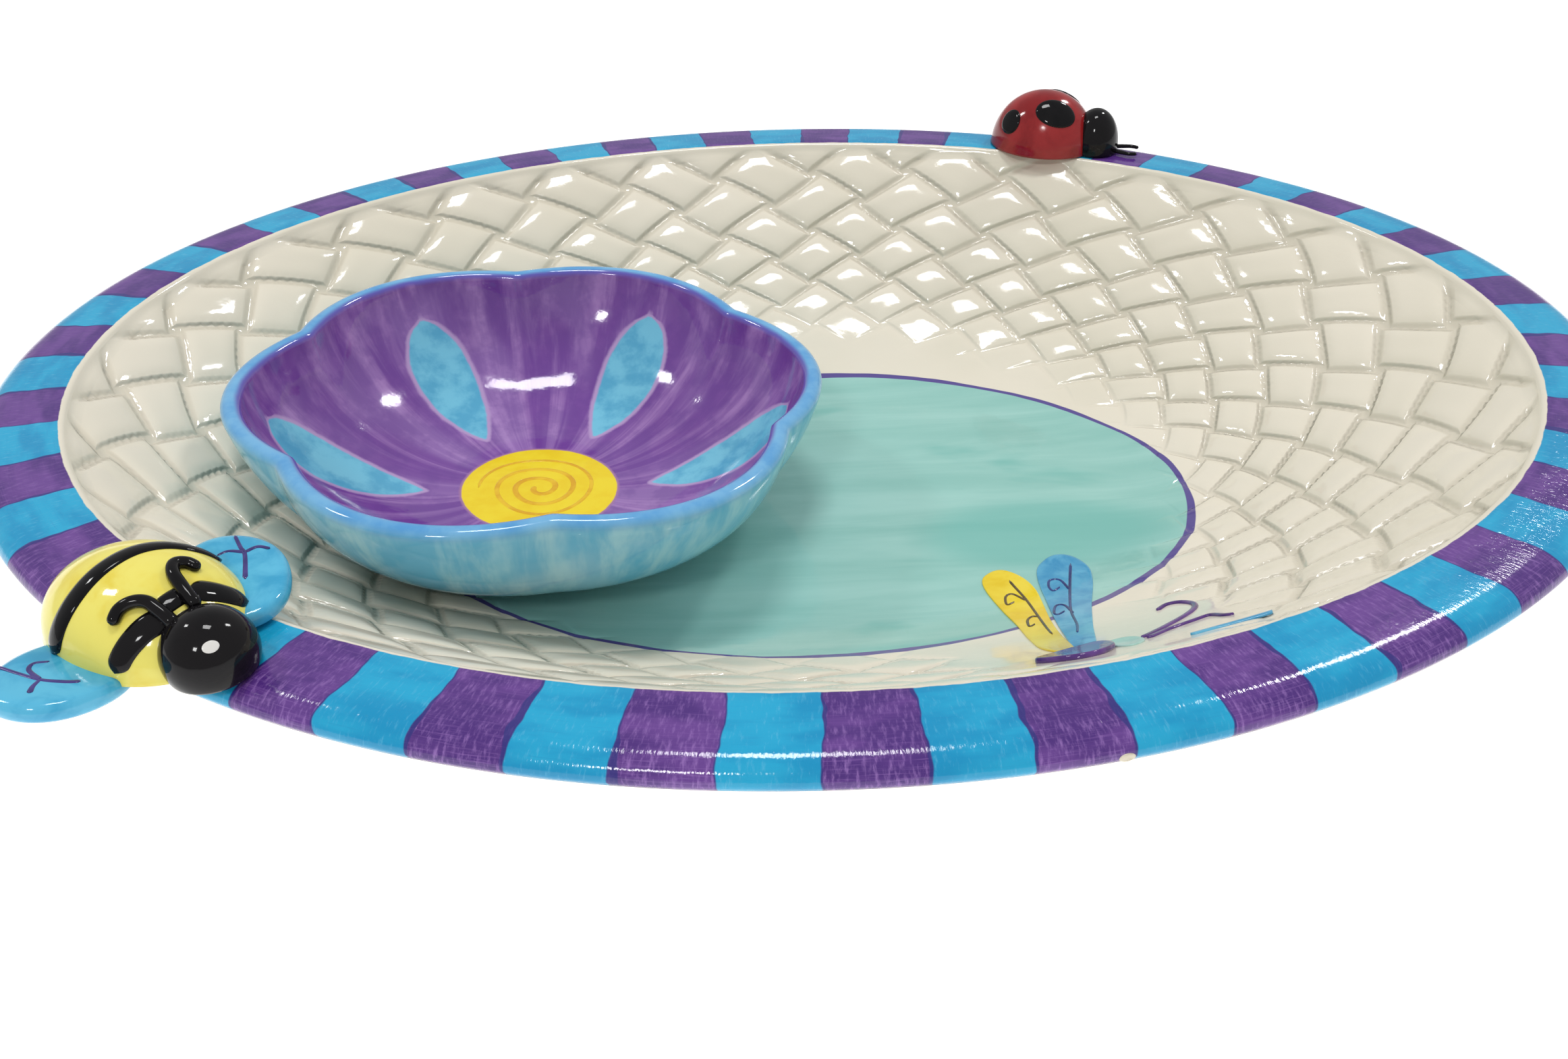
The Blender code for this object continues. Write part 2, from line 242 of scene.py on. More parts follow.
def add_piece(name, shape, material, body, nodes=(), place=None):
    """One named object that rides on a body and stands for the frame's nodes."""
    points, faces = shape
    mesh = bpy.data.meshes.new(name)
    mesh.from_pydata(points.tolist(), [], faces)
    mesh.shade_smooth()
    mesh.materials.append(material)
    piece = put_in_scene(name, mesh)
    if place is not None:
        piece.matrix_world = place
    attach(piece, body)
    if nodes:
        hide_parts(*nodes)
    return piece


def store_field(piece, name, table, ends):
    """Store one smooth number per face corner; the table has one column more than the rings."""
    columns = table.shape[1] - 1
    quads = np.stack(
        [table[:-1, :-1], table[:-1, 1:], table[1:, 1:], table[1:, :-1]], axis=-1
    ).reshape(-1)
    first = np.stack([np.full(columns, ends[0]), table[0, 1:], table[0, :-1]], axis=-1).reshape(-1)
    last = np.stack([table[-1, :-1], table[-1, 1:], np.full(columns, ends[1])], axis=-1).reshape(-1)
    field = piece.data.attributes.new(name, "FLOAT", "CORNER")
    field.data.foreach_set("value", np.concatenate([quads, first, last]).astype(np.float32))


def smooth_route(knots, per_span=10):
    """Points along a smooth curve through the knots."""
    knots = np.asarray(knots, float)
    padded = np.vstack([2 * knots[0] - knots[1], knots, 2 * knots[-1] - knots[-2]])
    points = []
    for k in range(1, len(padded) - 2):
        p0, p1, p2, p3 = padded[k - 1:k + 3]
        for t in np.arange(per_span) / per_span:
            points.append(0.5 * (2 * p1 + (p2 - p0) * t + (2 * p0 - 5 * p1 + 4 * p2 - p3) * t ** 2
                                 + (3 * p1 - p0 - 3 * p2 + p3) * t ** 3))
    points.append(knots[-1])
    return np.array(points)


def plan_route(knots_mm):
    """A smooth level route through places in plan."""
    return np.pad(smooth_route(np.array(knots_mm, float) * MM), ((0, 0), (0, 1)))


def round_ends(route, width, start=1.0, end=1.0):
    """Width along a stroke: rounded at both ends, and swelling or thinning between them."""
    steps = np.linalg.norm(np.diff(route, axis=0), axis=1)
    along = np.concatenate([[0.0], np.cumsum(steps)])
    share = along / along[-1]
    full = width * (start + (end - start) * share)
    near = np.minimum(along, along[-1] - along) / (0.5 * full)
    return full * np.sqrt(np.clip(1 - (1 - np.clip(near, 0, 1)) ** 2, 0.03, 1))


STROKE_SECTION = ((-1.0, -0.7), (-0.9, 0.35), (-0.6, 0.8), (-0.2, 1.0), (0.2, 1.0), (0.6, 0.8),
                  (0.9, 0.35), (1.0, -0.7), (0.4, -1.0), (-0.4, -1.0))


def stroke(route, width, snap, lift=0.00012, start=1.0, end=1.0):
    """A brush stroke of glaze: a thin domed strip laid on a surface."""
    middle, normal = snap(route)
    widths = round_ends(middle, width, start, end)[:, None]
    side = unit(np.cross(np.gradient(middle, axis=0), normal))
    strip = []
    for across, rise in STROKE_SECTION:
        on, up = snap(middle + side * widths * across / 2)
        strip.append(on + up * lift * rise)
    return skin(np.stack(strip, axis=1))


BLOB_SECTION = ((0.15, -1.0), (0.5, -1.0), (0.8, -1.0), (0.97, -0.9), (1.0, -0.3), (0.985, 0.3),
                (0.94, 0.7), (0.85, 0.9), (0.7, 1.0), (0.45, 1.0), (0.15, 1.0))


def blob(centre, outline, snap, lift=0.00012):
    """A filled patch of glaze with a rounded edge, laid on a surface."""
    rings = []
    for share, rise in BLOB_SECTION:
        on, up = snap(centre + (outline - centre) * share)
        rings.append(on + up * lift * rise)
    return skin(np.array(rings))


def tube(route, radii, sides=16):
    """A round rod with rounded ends along a route."""
    tangent = unit(np.gradient(route, axis=0))
    side = unit(np.cross(tangent, np.array([0.0, 0.0, 1.0])))
    over = np.cross(side, tangent)
    angle = np.arange(sides) / sides * TAU
    around = np.cos(angle)[None, :, None] * side[:, None] + np.sin(angle)[None, :, None] * over[:, None]
    return skin(route[:, None] + around * radii[:, None, None])


def ellipsoid_snap(half_axes, centre=(0.0, 0.0, 0.0)):
    """Moves points to the nearest place along their own ray on an ellipsoid."""
    axes, middle = np.array(half_axes), np.array(centre)

    def snap(points):
        ray = unit((points - middle) / axes)
        return middle + ray * axes, unit(ray / axes)
    return snap


def level_snap(height):
    """Moves points straight up or down to a level surface."""
    def snap(points):
        on = np.array(points, float)
        on[:, 2] = height
        return on, np.tile([0.0, 0.0, 1.0], (len(on), 1))
    return snap


def wall_run(x, y):
    """How far down the tray's wall a place in plan is, from 0 under the rim to 1 at the floor."""
    low, high = np.zeros_like(x), np.ones_like(x)
    for _ in range(30):
        middle = (low + high) / 2
        half_length = (TRAY_HALF_LENGTH - RIM_WIDTH) * (1 - middle) + FLOOR_HALF_LENGTH * middle
        half_width = (TRAY_HALF_WIDTH - RIM_WIDTH) * (1 - middle) + FLOOR_HALF_WIDTH * middle
        inside = (x / half_length) ** 2 + (y / half_width) ** 2 < 1
        low, high = np.where(inside, middle, low), np.where(inside, high, middle)
    return low


def tray_inside_height(x, y):
    """Height of the tray's smooth inside over a place in plan."""
    top = TRAY_HEIGHT - RIM_LIP_RADIUS
    return top + (FLOOR_Z - top) * np.sin(wall_run(x, y) * math.pi / 2)


def tray_snap(points):
    """Moves points straight up or down to the tray's smooth inside."""
    x, y = points[:, 0], points[:, 1]
    z = tray_inside_height(x, y)
    step = 0.0004
    slope_x = (tray_inside_height(x + step, y) - z) / step
    slope_y = (tray_inside_height(x, y + step) - z) / step
    return np.stack([x, y, z], axis=1), unit(np.stack([-slope_x, -slope_y, np.ones_like(x)], axis=1))


# ---------------- glazes

class Glaze:
    """The node tree of one material; each method adds a node and gives back its socket."""

    def __init__(self, name, roughness=0.1):
        self.material = bpy.data.materials.new(name)
        self.material.use_nodes = True
        self.tree = self.material.node_tree
        self.shader = self.tree.nodes["Principled BSDF"]
        self.shader.inputs["Roughness"].default_value = roughness
        self.shader.inputs["IOR"].default_value = 1.52

    def node(self, kind, inputs, output=0, **settings):
        made = self.tree.nodes.new(kind)
        for key, value in settings.items():
            setattr(made, key, value)
        for slot, value in inputs.items():
            if isinstance(value, bpy.types.NodeSocket):
                self.tree.links.new(value, made.inputs[slot])
            else:
                made.inputs[slot].default_value = value
        return made.outputs[output]

    def math(self, operation, *values):
        inputs = dict(enumerate(values))
        return self.node("ShaderNodeMath", inputs, operation=operation)

    def times(self, first, second):
        return self.math("MULTIPLY", first, second)

    def plus(self, first, second):
        return self.math("ADD", first, second)

    def minus(self, first, second):
        return self.math("SUBTRACT", first, second)

    def scaled(self, value, gain, offset):
        return self.math("MULTIPLY_ADD", value, gain, offset)

    def field(self, name):
        return self.node("ShaderNodeAttribute", {}, "Fac", attribute_name=name)

    def place(self):
        return self.node("ShaderNodeTexCoord", {}, "Object")

    def split(self, vector):
        made = self.node("ShaderNodeSeparateXYZ", {0: vector}).node
        return made.outputs[0], made.outputs[1], made.outputs[2]

    def vector(self, x, y, z=0.0):
        return self.node("ShaderNodeCombineXYZ", {0: x, 1: y, 2: z})

    def stretched(self, x, gain_x, y, gain_y, z=0.0):
        return self.vector(self.times(x, gain_x), self.times(y, gain_y), z)

    def noise(self, vector, scale, detail=3.0, roughness=0.5, distortion=0.0):
        inputs = {"Vector": vector, "Scale": scale, "Detail": detail, "Roughness": roughness,
                  "Distortion": distortion}
        return self.node("ShaderNodeTexNoise", inputs, "Fac")

    def ramp(self, value, low, high, start=0.0, end=1.0):
        inputs = {"Value": value, "From Min": low, "From Max": high, "To Min": start, "To Max": end}
        return self.node("ShaderNodeMapRange", inputs, interpolation_type="SMOOTHSTEP")

    def mix(self, factor, first, second):
        inputs = {0: factor, 6: self.colour(first), 7: self.colour(second)}
        return self.node("ShaderNodeMix", inputs, 2, data_type="RGBA")

    def wash(self, factor, most, first, second):
        return self.mix(self.times(factor, most), first, second)

    def colour(self, value):
        return (*value, 1.0) if isinstance(value, tuple) else value

    def bump(self, height, distance, normal=None):
        inputs = {"Height": height, "Distance": distance, "Strength": 1.0}
        if normal is not None:
            inputs["Normal"] = normal
        return self.node("ShaderNodeBump", inputs)

    def paint(self, colour=None, roughness=None, normal=None):
        for slot, value in (("Base Color", colour), ("Roughness", roughness), ("Normal", normal)):
            if value is not None:
                self.tree.links.new(value, self.shader.inputs[slot])
        return self.material


def orange_peel(glaze, place, swell=0.00035, peel=0.00003):
    """The slow swell and the fine pitting of a brushed-on clear glaze."""
    slow = glaze.bump(glaze.noise(place, 45.0, 2.0), swell)
    return glaze.bump(glaze.noise(place, 420.0, 2.0), peel, slow)


def white_glaze_colour(glaze, place, relief):
    """Warm white, darker and creamier in the grooves of the weave and at the tile ends: partly glaze
    pooling there, partly painted shade.
    """
    cloud = glaze.ramp(glaze.noise(place, 16.0, 3.0), 0.3, 0.7)
    white = glaze.mix(cloud, (0.82, 0.765, 0.63), (0.87, 0.81, 0.68))
    # painted shade: where the relief is low, in the grooves and at the dipped tile ends, the white is mixed
    # towards a darker cream
    return glaze.mix(glaze.ramp(relief, 0.9, 0.0, 0.0, 0.38), white, (0.56, 0.51, 0.39))


def weave_tiles(glaze, turn, row):
    """Each basket tile with a crisp outline: 1 in its middle, lower at its ends, 0 in the grooves."""
    first, second = glaze.plus(turn, row), glaze.minus(turn, row)
    tiles = []
    for strand, run, odd in ((first, second, 0.0), (second, first, 1.0)):
        line = glaze.math("ROUND", strand)
        shifted = glaze.minus(glaze.minus(run, line), odd)
        over = glaze.times(glaze.math("ROUND", glaze.times(shifted, 0.5)), 2.0)
        across = glaze.math("ABSOLUTE", glaze.minus(strand, line))
        along = glaze.math("ABSOLUTE", glaze.minus(shifted, over))
        along = glaze.times(along, 1 / (1 - STRAND_WIDTH / 2))
        off = glaze.math("MAXIMUM", glaze.times(across, 2 / STRAND_WIDTH), along)
        dip = glaze.scaled(glaze.times(along, along), -WEAVE_END_DIP, 1.0)
        tiles.append(glaze.times(glaze.ramp(off, 1.0, 0.80), dip))
    return glaze.math("MAXIMUM", *tiles)


def stripe_colour(glaze, around, out, front_painted_sheen):
    """Purple and blue blocks brushed across the rim, overlapping to navy along their edges, with a painted
    sheen lightening the purple on the front of the rim.
    """
    sway = glaze.noise(glaze.stretched(around, 2.1, out, 0.09), 1.0, 2.0)
    turn = glaze.scaled(glaze.minus(sway, 0.5), 0.11, around)
    off = glaze.math("ABSOLUTE", glaze.minus(turn, glaze.math("ROUND", turn)))
    strokes = glaze.stretched(around, 46.0, out, 0.33)
    fine = glaze.noise(strokes, 1.0, 4.0, 0.65)
    hatch = glaze.noise(glaze.stretched(around, 4.0, out, 3.2), 1.0, 3.0, 0.6)
    patch = glaze.noise(glaze.vector(around, glaze.times(out, 0.08), 7.0), 2.2, 3.0)
    worn = glaze.ramp(out, 9.0, 21.0)

    purple = glaze.mix(glaze.ramp(patch, 0.38, 0.66), (0.078, 0.024, 0.210), (0.150, 0.055, 0.300))
    # lighter scratches on the purple: brush scratches, more towards the worn outer edge, made stronger on
    # the front of the rim as a painted sheen
    scratch_and_sheen = glaze.times(glaze.ramp(fine, 0.46, 0.74), glaze.scaled(worn, 0.30, 0.55))
    scratch_and_sheen = glaze.times(scratch_and_sheen, glaze.scaled(front_painted_sheen, 0.75, 0.25))
    purple = glaze.mix(scratch_and_sheen, purple, (0.36, 0.19, 0.55))
    # the lighter hatched streaks carry the same painted sheen on the front of the rim
    weft_and_sheen = glaze.times(glaze.ramp(hatch, 0.50, 0.72), glaze.scaled(worn, 0.35, 0.15))
    weft_and_sheen = glaze.times(weft_and_sheen, glaze.scaled(front_painted_sheen, 0.8, 0.2))
    purple = glaze.mix(weft_and_sheen, purple, (0.34, 0.17, 0.53))

    blue = glaze.mix(glaze.ramp(patch, 0.35, 0.65), (0.003, 0.31, 0.59), (0.014, 0.42, 0.70))
    blue = glaze.wash(glaze.ramp(fine, 0.52, 0.75), 0.5, blue, (0.13, 0.54, 0.80))
    blue = glaze.wash(glaze.ramp(hatch, 0.45, 0.25), 0.25, blue, (0.012, 0.22, 0.50))

    side = glaze.math("FLOOR", glaze.times(turn, 2.0))
    wander = glaze.noise(glaze.stretched(side, 3.7, out, 0.05), 1.0, 2.0)
    overlap = glaze.ramp(wander, 0.42, 0.75, 0.008, 0.062)
    inner = glaze.minus(glaze.minus(0.252, overlap), off)
    navy = glaze.ramp(inner, 0.004, -0.004)
    edge = glaze.ramp(off, 0.247, 0.257)
    violet = glaze.wash(navy, 0.8, purple, (0.022, 0.028, 0.21))
    return glaze.mix(edge, violet, blue)


def pad_colour(glaze, place):
    """The lily pad's washed teal, brushed from side to side with darker pools."""
    x, y, _ = glaze.split(place)
    wash = glaze.noise(glaze.stretched(x, 9.0, y, 75.0), 1.0, 4.0, 0.6, 0.4)
    teal = glaze.mix(glaze.ramp(wash, 0.30, 0.72), (0.29, 0.585, 0.525), (0.40, 0.695, 0.635))
    cloud = glaze.noise(glaze.stretched(x, 14.0, y, 40.0, 3.0), 1.0, 3.0, 0.5, 0.6)
    pool_x = glaze.times(glaze.minus(x, PAD_POOL_CENTRE[0]), 1 / PAD_POOL_HALF_AXES[0])
    pool_y = glaze.times(glaze.minus(y, PAD_POOL_CENTRE[1]), 1 / PAD_POOL_HALF_AXES[1])
    far = glaze.plus(glaze.times(pool_x, pool_x), glaze.times(pool_y, pool_y))
    pool = glaze.math("MAXIMUM", glaze.ramp(cloud, 0.56, 0.70), glaze.ramp(far, 1.5, 0.4))
    return glaze.wash(pool, 0.6, teal, (0.15, 0.49, 0.435))


def tray_glaze():
    glaze = Glaze("painted_tray_glaze")
    place = glaze.place()
    around, out = glaze.field("stripe"), glaze.field("paint")
    pad, pressed = glaze.field("pad"), glaze.field("weave_strength")
    groove = glaze.minus(1.0, weave_tiles(glaze, glaze.field("weave_turn"), glaze.field("weave_row")))
    # relief drives both the bump and the painted shade in the grooves and at the tile ends
    relief = glaze.minus(1.0, glaze.times(groove, pressed))
    colour = white_glaze_colour(glaze, place, relief)

    wobble = glaze.scaled(glaze.noise(place, 55.0, 2.0), 1.1, -0.55)
    edge = glaze.plus(pad, wobble)
    colour = glaze.mix(glaze.ramp(edge, -0.15, 0.15), colour, pad_colour(glaze, place))
    thick = glaze.ramp(glaze.noise(place, 24.0, 1.0), 0.3, 0.7, 0.5, 1.15)
    line = glaze.ramp(glaze.minus(glaze.math("ABSOLUTE", edge), thick), 0.12, -0.12)
    colour = glaze.mix(line, colour, (0.115, 0.085, 0.31))

    fray = glaze.scaled(glaze.noise(glaze.vector(glaze.times(around, 5.0), 1.0), 1.0), 1.0, -0.5)
    painted = glaze.ramp(glaze.plus(out, fray), 0.0, 0.25)
    painted = glaze.times(painted, glaze.ramp(out, PAINT_END_MM + 0.5, PAINT_END_MM - 0.5))
    # painted sheen: 1 on the front part of the rim, where the purple streaks are made lighter
    front_painted_sheen = glaze.ramp(glaze.split(place)[1], 0.0, -0.13)
    stripes = stripe_colour(glaze, around, out, front_painted_sheen)
    colour = glaze.mix(painted, colour, stripes)

    fine = glaze.noise(glaze.stretched(around, 60.0, out, 0.5), 1.0, 3.0)
    woven = glaze.bump(relief, WEAVE_BEVEL, orange_peel(glaze, place))
    brushed = glaze.bump(glaze.times(fine, painted), 0.00006, woven)
    roughness = glaze.ramp(glaze.noise(place, 90.0, 2.0), 0.3, 0.8, 0.07, 0.13)
    return glaze.paint(colour, roughness, brushed)


def bowl_glaze():
    """Purple inside with sky-blue petals and a yellow middle, and sky blue outside."""
    glaze = Glaze("painted_bowl_glaze")
    place = glaze.place()
    petal, disc, reach = glaze.field("petal"), glaze.field("disc"), glaze.field("reach")
    x, y, z = glaze.split(place)
    far = glaze.math("SQRT", glaze.plus(glaze.times(x, x), glaze.times(y, y)))
    away = glaze.math("MAXIMUM", far, 0.001)
    ray_x, ray_y = glaze.math("DIVIDE", x, away), glaze.math("DIVIDE", y, away)
    height = glaze.times(z, 26.0)
    streak = glaze.noise(glaze.vector(ray_x, ray_y, glaze.times(height, 0.16)), 8.0, 4.0, 0.6, 0.3)
    wide = glaze.noise(glaze.vector(ray_x, ray_y, glaze.times(height, 0.5)), 3.0, 2.0)
    mottle = glaze.noise(place, 110.0, 4.0, 0.6)

    purple = glaze.mix(glaze.ramp(streak, 0.42, 0.72), (0.195, 0.068, 0.345), (0.43, 0.24, 0.56))
    purple = glaze.wash(glaze.ramp(wide, 0.42, 0.68), 0.45, purple, (0.43, 0.27, 0.58))
    purple = glaze.wash(glaze.ramp(mottle, 0.60, 0.42), 0.35, purple, (0.13, 0.042, 0.29))

    fill = glaze.mix(glaze.ramp(mottle, 0.36, 0.62), (0.095, 0.43, 0.65), (0.19, 0.60, 0.79))
    blur = glaze.scaled(mottle, 1.4, -0.7)
    petal_edge = glaze.plus(petal, blur)
    inside = glaze.mix(glaze.ramp(petal_edge, -1.3, -0.3), purple, (0.50, 0.34, 0.62))
    inside = glaze.mix(glaze.ramp(petal_edge, -0.1, 0.6), inside, fill)

    yellow = glaze.mix(glaze.ramp(mottle, 0.35, 0.65), (0.94, 0.68, 0.006), (0.98, 0.77, 0.018))
    disc_edge = glaze.plus(disc, glaze.times(blur, 0.6))
    inside = glaze.mix(glaze.ramp(disc_edge, -0.9, -0.1), inside, (0.40, 0.20, 0.38))
    inside = glaze.mix(glaze.ramp(disc_edge, -0.1, 0.3), inside, yellow)

    outside = glaze.mix(glaze.ramp(streak, 0.38, 0.66), (0.14, 0.50, 0.74), (0.36, 0.70, 0.83))
    outside = glaze.wash(glaze.ramp(wide, 0.50, 0.70), 0.35, outside, (0.56, 0.80, 0.87))
    rim = glaze.mix(glaze.ramp(mottle, 0.3, 0.7), (0.10, 0.36, 0.72), (0.20, 0.50, 0.80))
    outside = glaze.mix(glaze.ramp(reach, -5.0, -1.2), outside, rim)
    tint = glaze.scaled(mottle, 1.2, -0.6)
    lip_edge = glaze.plus(reach, tint)
    colour = glaze.mix(glaze.ramp(lip_edge, 0.6, 2.2), outside, (0.13, 0.11, 0.48))
    colour = glaze.mix(glaze.ramp(lip_edge, 2.0, 3.6), colour, inside)
    roughness = glaze.ramp(mottle, 0.3, 0.8, 0.06, 0.12)
    return glaze.paint(colour, roughness, orange_peel(glaze, place, 0.0003))


def plain_glaze(name, first, second, scale=90.0, roughness=0.07, swell=0.0002, spread=(0.35, 0.65)):
    """A brushed glaze of one colour, uneven between two tones."""
    glaze = Glaze(name, roughness)
    place = glaze.place()
    tone = glaze.noise(place, scale, 4.0, 0.6, 0.4)
    colour = glaze.mix(glaze.ramp(tone, *spread), first, second)
    gloss = glaze.ramp(tone, 0.3, 0.8, roughness * 0.8, roughness * 1.5)
    return glaze.paint(colour, gloss, orange_peel(glaze, place, swell))


# ---------------- pieces

def even_angles(columns):
    """Oval angles at even steps of length round the rim, and each one's share of the whole turn."""
    angle = np.linspace(0, TAU, 7201)
    half_length = TRAY_HALF_LENGTH - RIM_WIDTH / 2
    half_width = TRAY_HALF_WIDTH - RIM_WIDTH / 2
    pace = np.hypot(half_length * np.sin(angle), half_width * np.cos(angle))
    along = np.concatenate([[0.0], np.cumsum((pace[1:] + pace[:-1]) / 2)])
    along /= along[-1]
    share = np.arange(columns + 1) / columns
    return np.interp(share, along, angle), share, lambda a: np.interp(a, angle, along)


def inset_ring(inset, height):
    return TRAY_HALF_LENGTH - inset, TRAY_HALF_WIDTH - inset, height


def wall_rings(top_inset, top_z, floor_grow, bottom_z, steps):
    """Rings down the tray's wall, steep under the rim and level at the floor."""
    rings = []
    for step in range(1, steps + 1):
        run = step / steps
        rings.append((
            (1 - run) * (TRAY_HALF_LENGTH - top_inset) + run * (FLOOR_HALF_LENGTH + floor_grow),
            (1 - run) * (TRAY_HALF_WIDTH - top_inset) + run * (FLOOR_HALF_WIDTH + floor_grow),
            top_z + (bottom_z - top_z) * math.sin(run * math.pi / 2)))
    return rings


def tray_section():
    """Half length, half width and height of each ring, and how many rings come before lip and wall."""
    edge_bottom = TRAY_HEIGHT - RIM_EDGE_THICKNESS
    outside_inset = RIM_WIDTH - WALL_RUN_OUTSIDE
    foot = [(FLOOR_HALF_LENGTH - FOOT_WIDTH + x, FLOOR_HALF_WIDTH - FOOT_WIDTH + x, z) for x, z in (
        (-0.0010, UNDERSIDE_Z), (-0.0003, 0.0004), (0.0005, 0.0), (FOOT_WIDTH - 0.0006, 0.0),
        (FOOT_WIDTH, 0.0005))]
    outside = wall_rings(outside_inset, edge_bottom, 0.0015, UNDERSIDE_Z, 14)[::-1]
    under = [inset_ring(inset, edge_bottom + z) for inset, z in (
        (outside_inset - 0.0010, 0.0), (0.0080, 0.0), (0.0028, 0.0), (0.0014, 0.0002), (0.0005, 0.0008))]
    shoulder = []
    for step in range(15):
        turn = step / 14 * math.pi / 2
        shoulder.append(inset_ring(RIM_SHOULDER_WIDTH * (1 - math.cos(turn)),
                                   TRAY_HEIGHT - RIM_SHOULDER_DROP * (1 - math.sin(turn))))
    flat_end = RIM_WIDTH - RIM_LIP_RADIUS
    top = [inset_ring(RIM_SHOULDER_WIDTH + (flat_end - RIM_SHOULDER_WIDTH) * k / 4, TRAY_HEIGHT)
           for k in range(1, 5)]
    lip = [inset_ring(flat_end + RIM_LIP_RADIUS * math.sin(turn),
                      TRAY_HEIGHT - RIM_LIP_RADIUS * (1 - math.cos(turn))) for turn in (0.5, 1.0, 1.4)]
    wall = wall_rings(RIM_WIDTH, TRAY_HEIGHT - RIM_LIP_RADIUS, 0.0, FLOOR_Z, WALL_ROWS)
    floor = [(FLOOR_HALF_LENGTH * k / 8, FLOOR_HALF_WIDTH * k / 8, FLOOR_Z) for k in range(7, 0, -1)]
    before_lip = len(foot + outside + under + shoulder + top)
    return foot + outside + under + shoulder + top + lip + wall + floor, before_lip, before_lip + len(lip)


def pillow(across, along):
    """Height of one rounded basket tile, from 1 in its middle to 0 at its edge."""
    cross = np.clip(1 - np.abs(across) ** 4, 0, 1) ** 0.6
    length = np.clip(1 - np.abs(along) ** 6, 0, 1) ** 0.6
    return cross * length * (1 - 0.25 * np.clip(np.abs(along), 0, 1) ** 2)


def weave_height(u, v):
    """Plain weave of two families of flat diagonal strands, each passing over every other one."""
    first, second = u + v, u - v
    heights = []
    for strand, run, odd in ((first, second, 0), (second, first, 1)):
        line = np.round(strand)
        over = line + odd + 2 * np.round((run - line - odd) / 2)
        across, along = (strand - line) / (STRAND_WIDTH / 2), (run - over) / (1 - STRAND_WIDTH / 2)
        heights.append(pillow(across, along))
    return np.maximum(*heights)


def pad_distance(x, y, angle):
    """Millimetres inside the lily pad's outline, in plan."""
    dx, dy = x - PAD_CENTRE[0], y - PAD_CENTRE[1]
    reach = np.sqrt((dx / PAD_HALF_AXES[0]) ** 2 + (dy / PAD_HALF_AXES[1]) ** 2)
    slope = np.hypot(dx / PAD_HALF_AXES[0] ** 2, dy / PAD_HALF_AXES[1] ** 2) / np.maximum(reach, 1e-6)
    distance = (1 - reach) / np.maximum(slope, 1.0)
    return np.where(reach < 1e-3, 50.0, distance / MM) + 0.7 * ripple(angle, 5)


def add_tray():
    """The tray as one fine skin, with the weave pressed into its wall and fields for its painting."""
    section, before_lip, before_wall = tray_section()
    angle, share, share_at = even_angles(TRAY_COLUMNS)
    size = np.array(section)[:, :, None]
    level = size[:, 2] / TRAY_HEIGHT
    shrink = 1 - 0.0016 * level * (1 + ripple(angle, 1))
    rings = np.stack([
        size[:, 0] * np.cos(angle) * shrink,
        size[:, 1] * np.sin(angle) * shrink,
        size[:, 2] - 0.00012 * level ** 4 * (1 + ripple(angle, 2)) + 0 * angle], axis=-1)

    down = np.cumsum(np.linalg.norm(np.diff(rings, axis=0), axis=-1), axis=0) / MM
    down = np.vstack([np.zeros((1, down.shape[1])), down])
    deep = down - down[before_wall - 1]
    turn = (share - share_at(WEAVE_PHASE)) * WEAVE_PERIODS
    past = deep - WEAVE_FIRST_ROW_MM
    row = past * WEAVE_ROW_RATE + past ** 2 * WEAVE_ROW_GROWTH
    sway = 0.035 * ripple(angle, 3, (3, 5, 8, 13, 17))
    turn, row = turn + sway + 0.02 * np.sin(row * 5), row + 0.05 * ripple(angle, 4, (4, 6, 9))
    tiles = weave_height(turn, row)
    run = np.clip((np.arange(len(section)) - before_wall + 1) / WALL_ROWS, 0, 1)[:, None]
    end = WEAVE_END_BACK + (WEAVE_END_SIDES - WEAVE_END_BACK) * np.cos(angle) ** 2
    strength = fade(deep, 0.6, 3.0) * fade(run, end, end - 0.30) * (run > 0)
    far = np.hypot(rings[..., 0] - DRAGONFLY_CENTRE[0], rings[..., 1] - DRAGONFLY_CENTRE[1])
    strength = strength * fade(far, DRAGONFLY_REACH, 1.6 * DRAGONFLY_REACH)
    normal = unit(np.cross(np.gradient(rings, axis=1), np.gradient(rings, axis=0)))
    normal[:, 0] = normal[:, -1] = unit(normal[:, 0] + normal[:, -1])
    press = strength * (WEAVE_TOP - (WEAVE_TOP + WEAVE_DEPTH) * (1 - tiles))
    shaped = rings + normal * press[..., None]

    tray = add_piece("tray_shell", skin(shaped[:, :-1]), tray_glaze(), TRAY_BODY, ["tray"])
    out = down[before_lip - 1] - down - PAINT_START_MM
    inner = (np.arange(len(section)) >= before_wall)[:, None]
    pad = np.where(inner, pad_distance(rings[..., 0], rings[..., 1], angle), -50.0)
    store_field(tray, "stripe", np.tile((share - STRIPE_PHASE) * STRIPES, (len(section), 1)), (0.0, 0.0))
    store_field(tray, "paint", out, (60.0, -60.0))
    store_field(tray, "weave_turn", turn, (0.0, 0.0))
    store_field(tray, "weave_row", row, (0.0, 0.0))
    store_field(tray, "weave_strength", strength, (0.0, 0.0))
    store_field(tray, "pad", pad, (-50.0, 50.0))
    return tray


def lobed_ring(radius, height, lobing, angle):
    """One six-lobed ring of the dip bowl."""
    pinch = 1 - np.sqrt(np.cos(BOWL_LOBES / 2 * angle) ** 2 + 0.0009)
    reach = radius - BOWL_LOBE_DEPTH * lobing * np.clip(pinch, 0, 1)
    turned = angle + math.radians(BOWL_LOBE_TURN)
    return np.stack([reach * np.cos(turned), reach * np.sin(turned), height + 0 * angle], axis=-1)


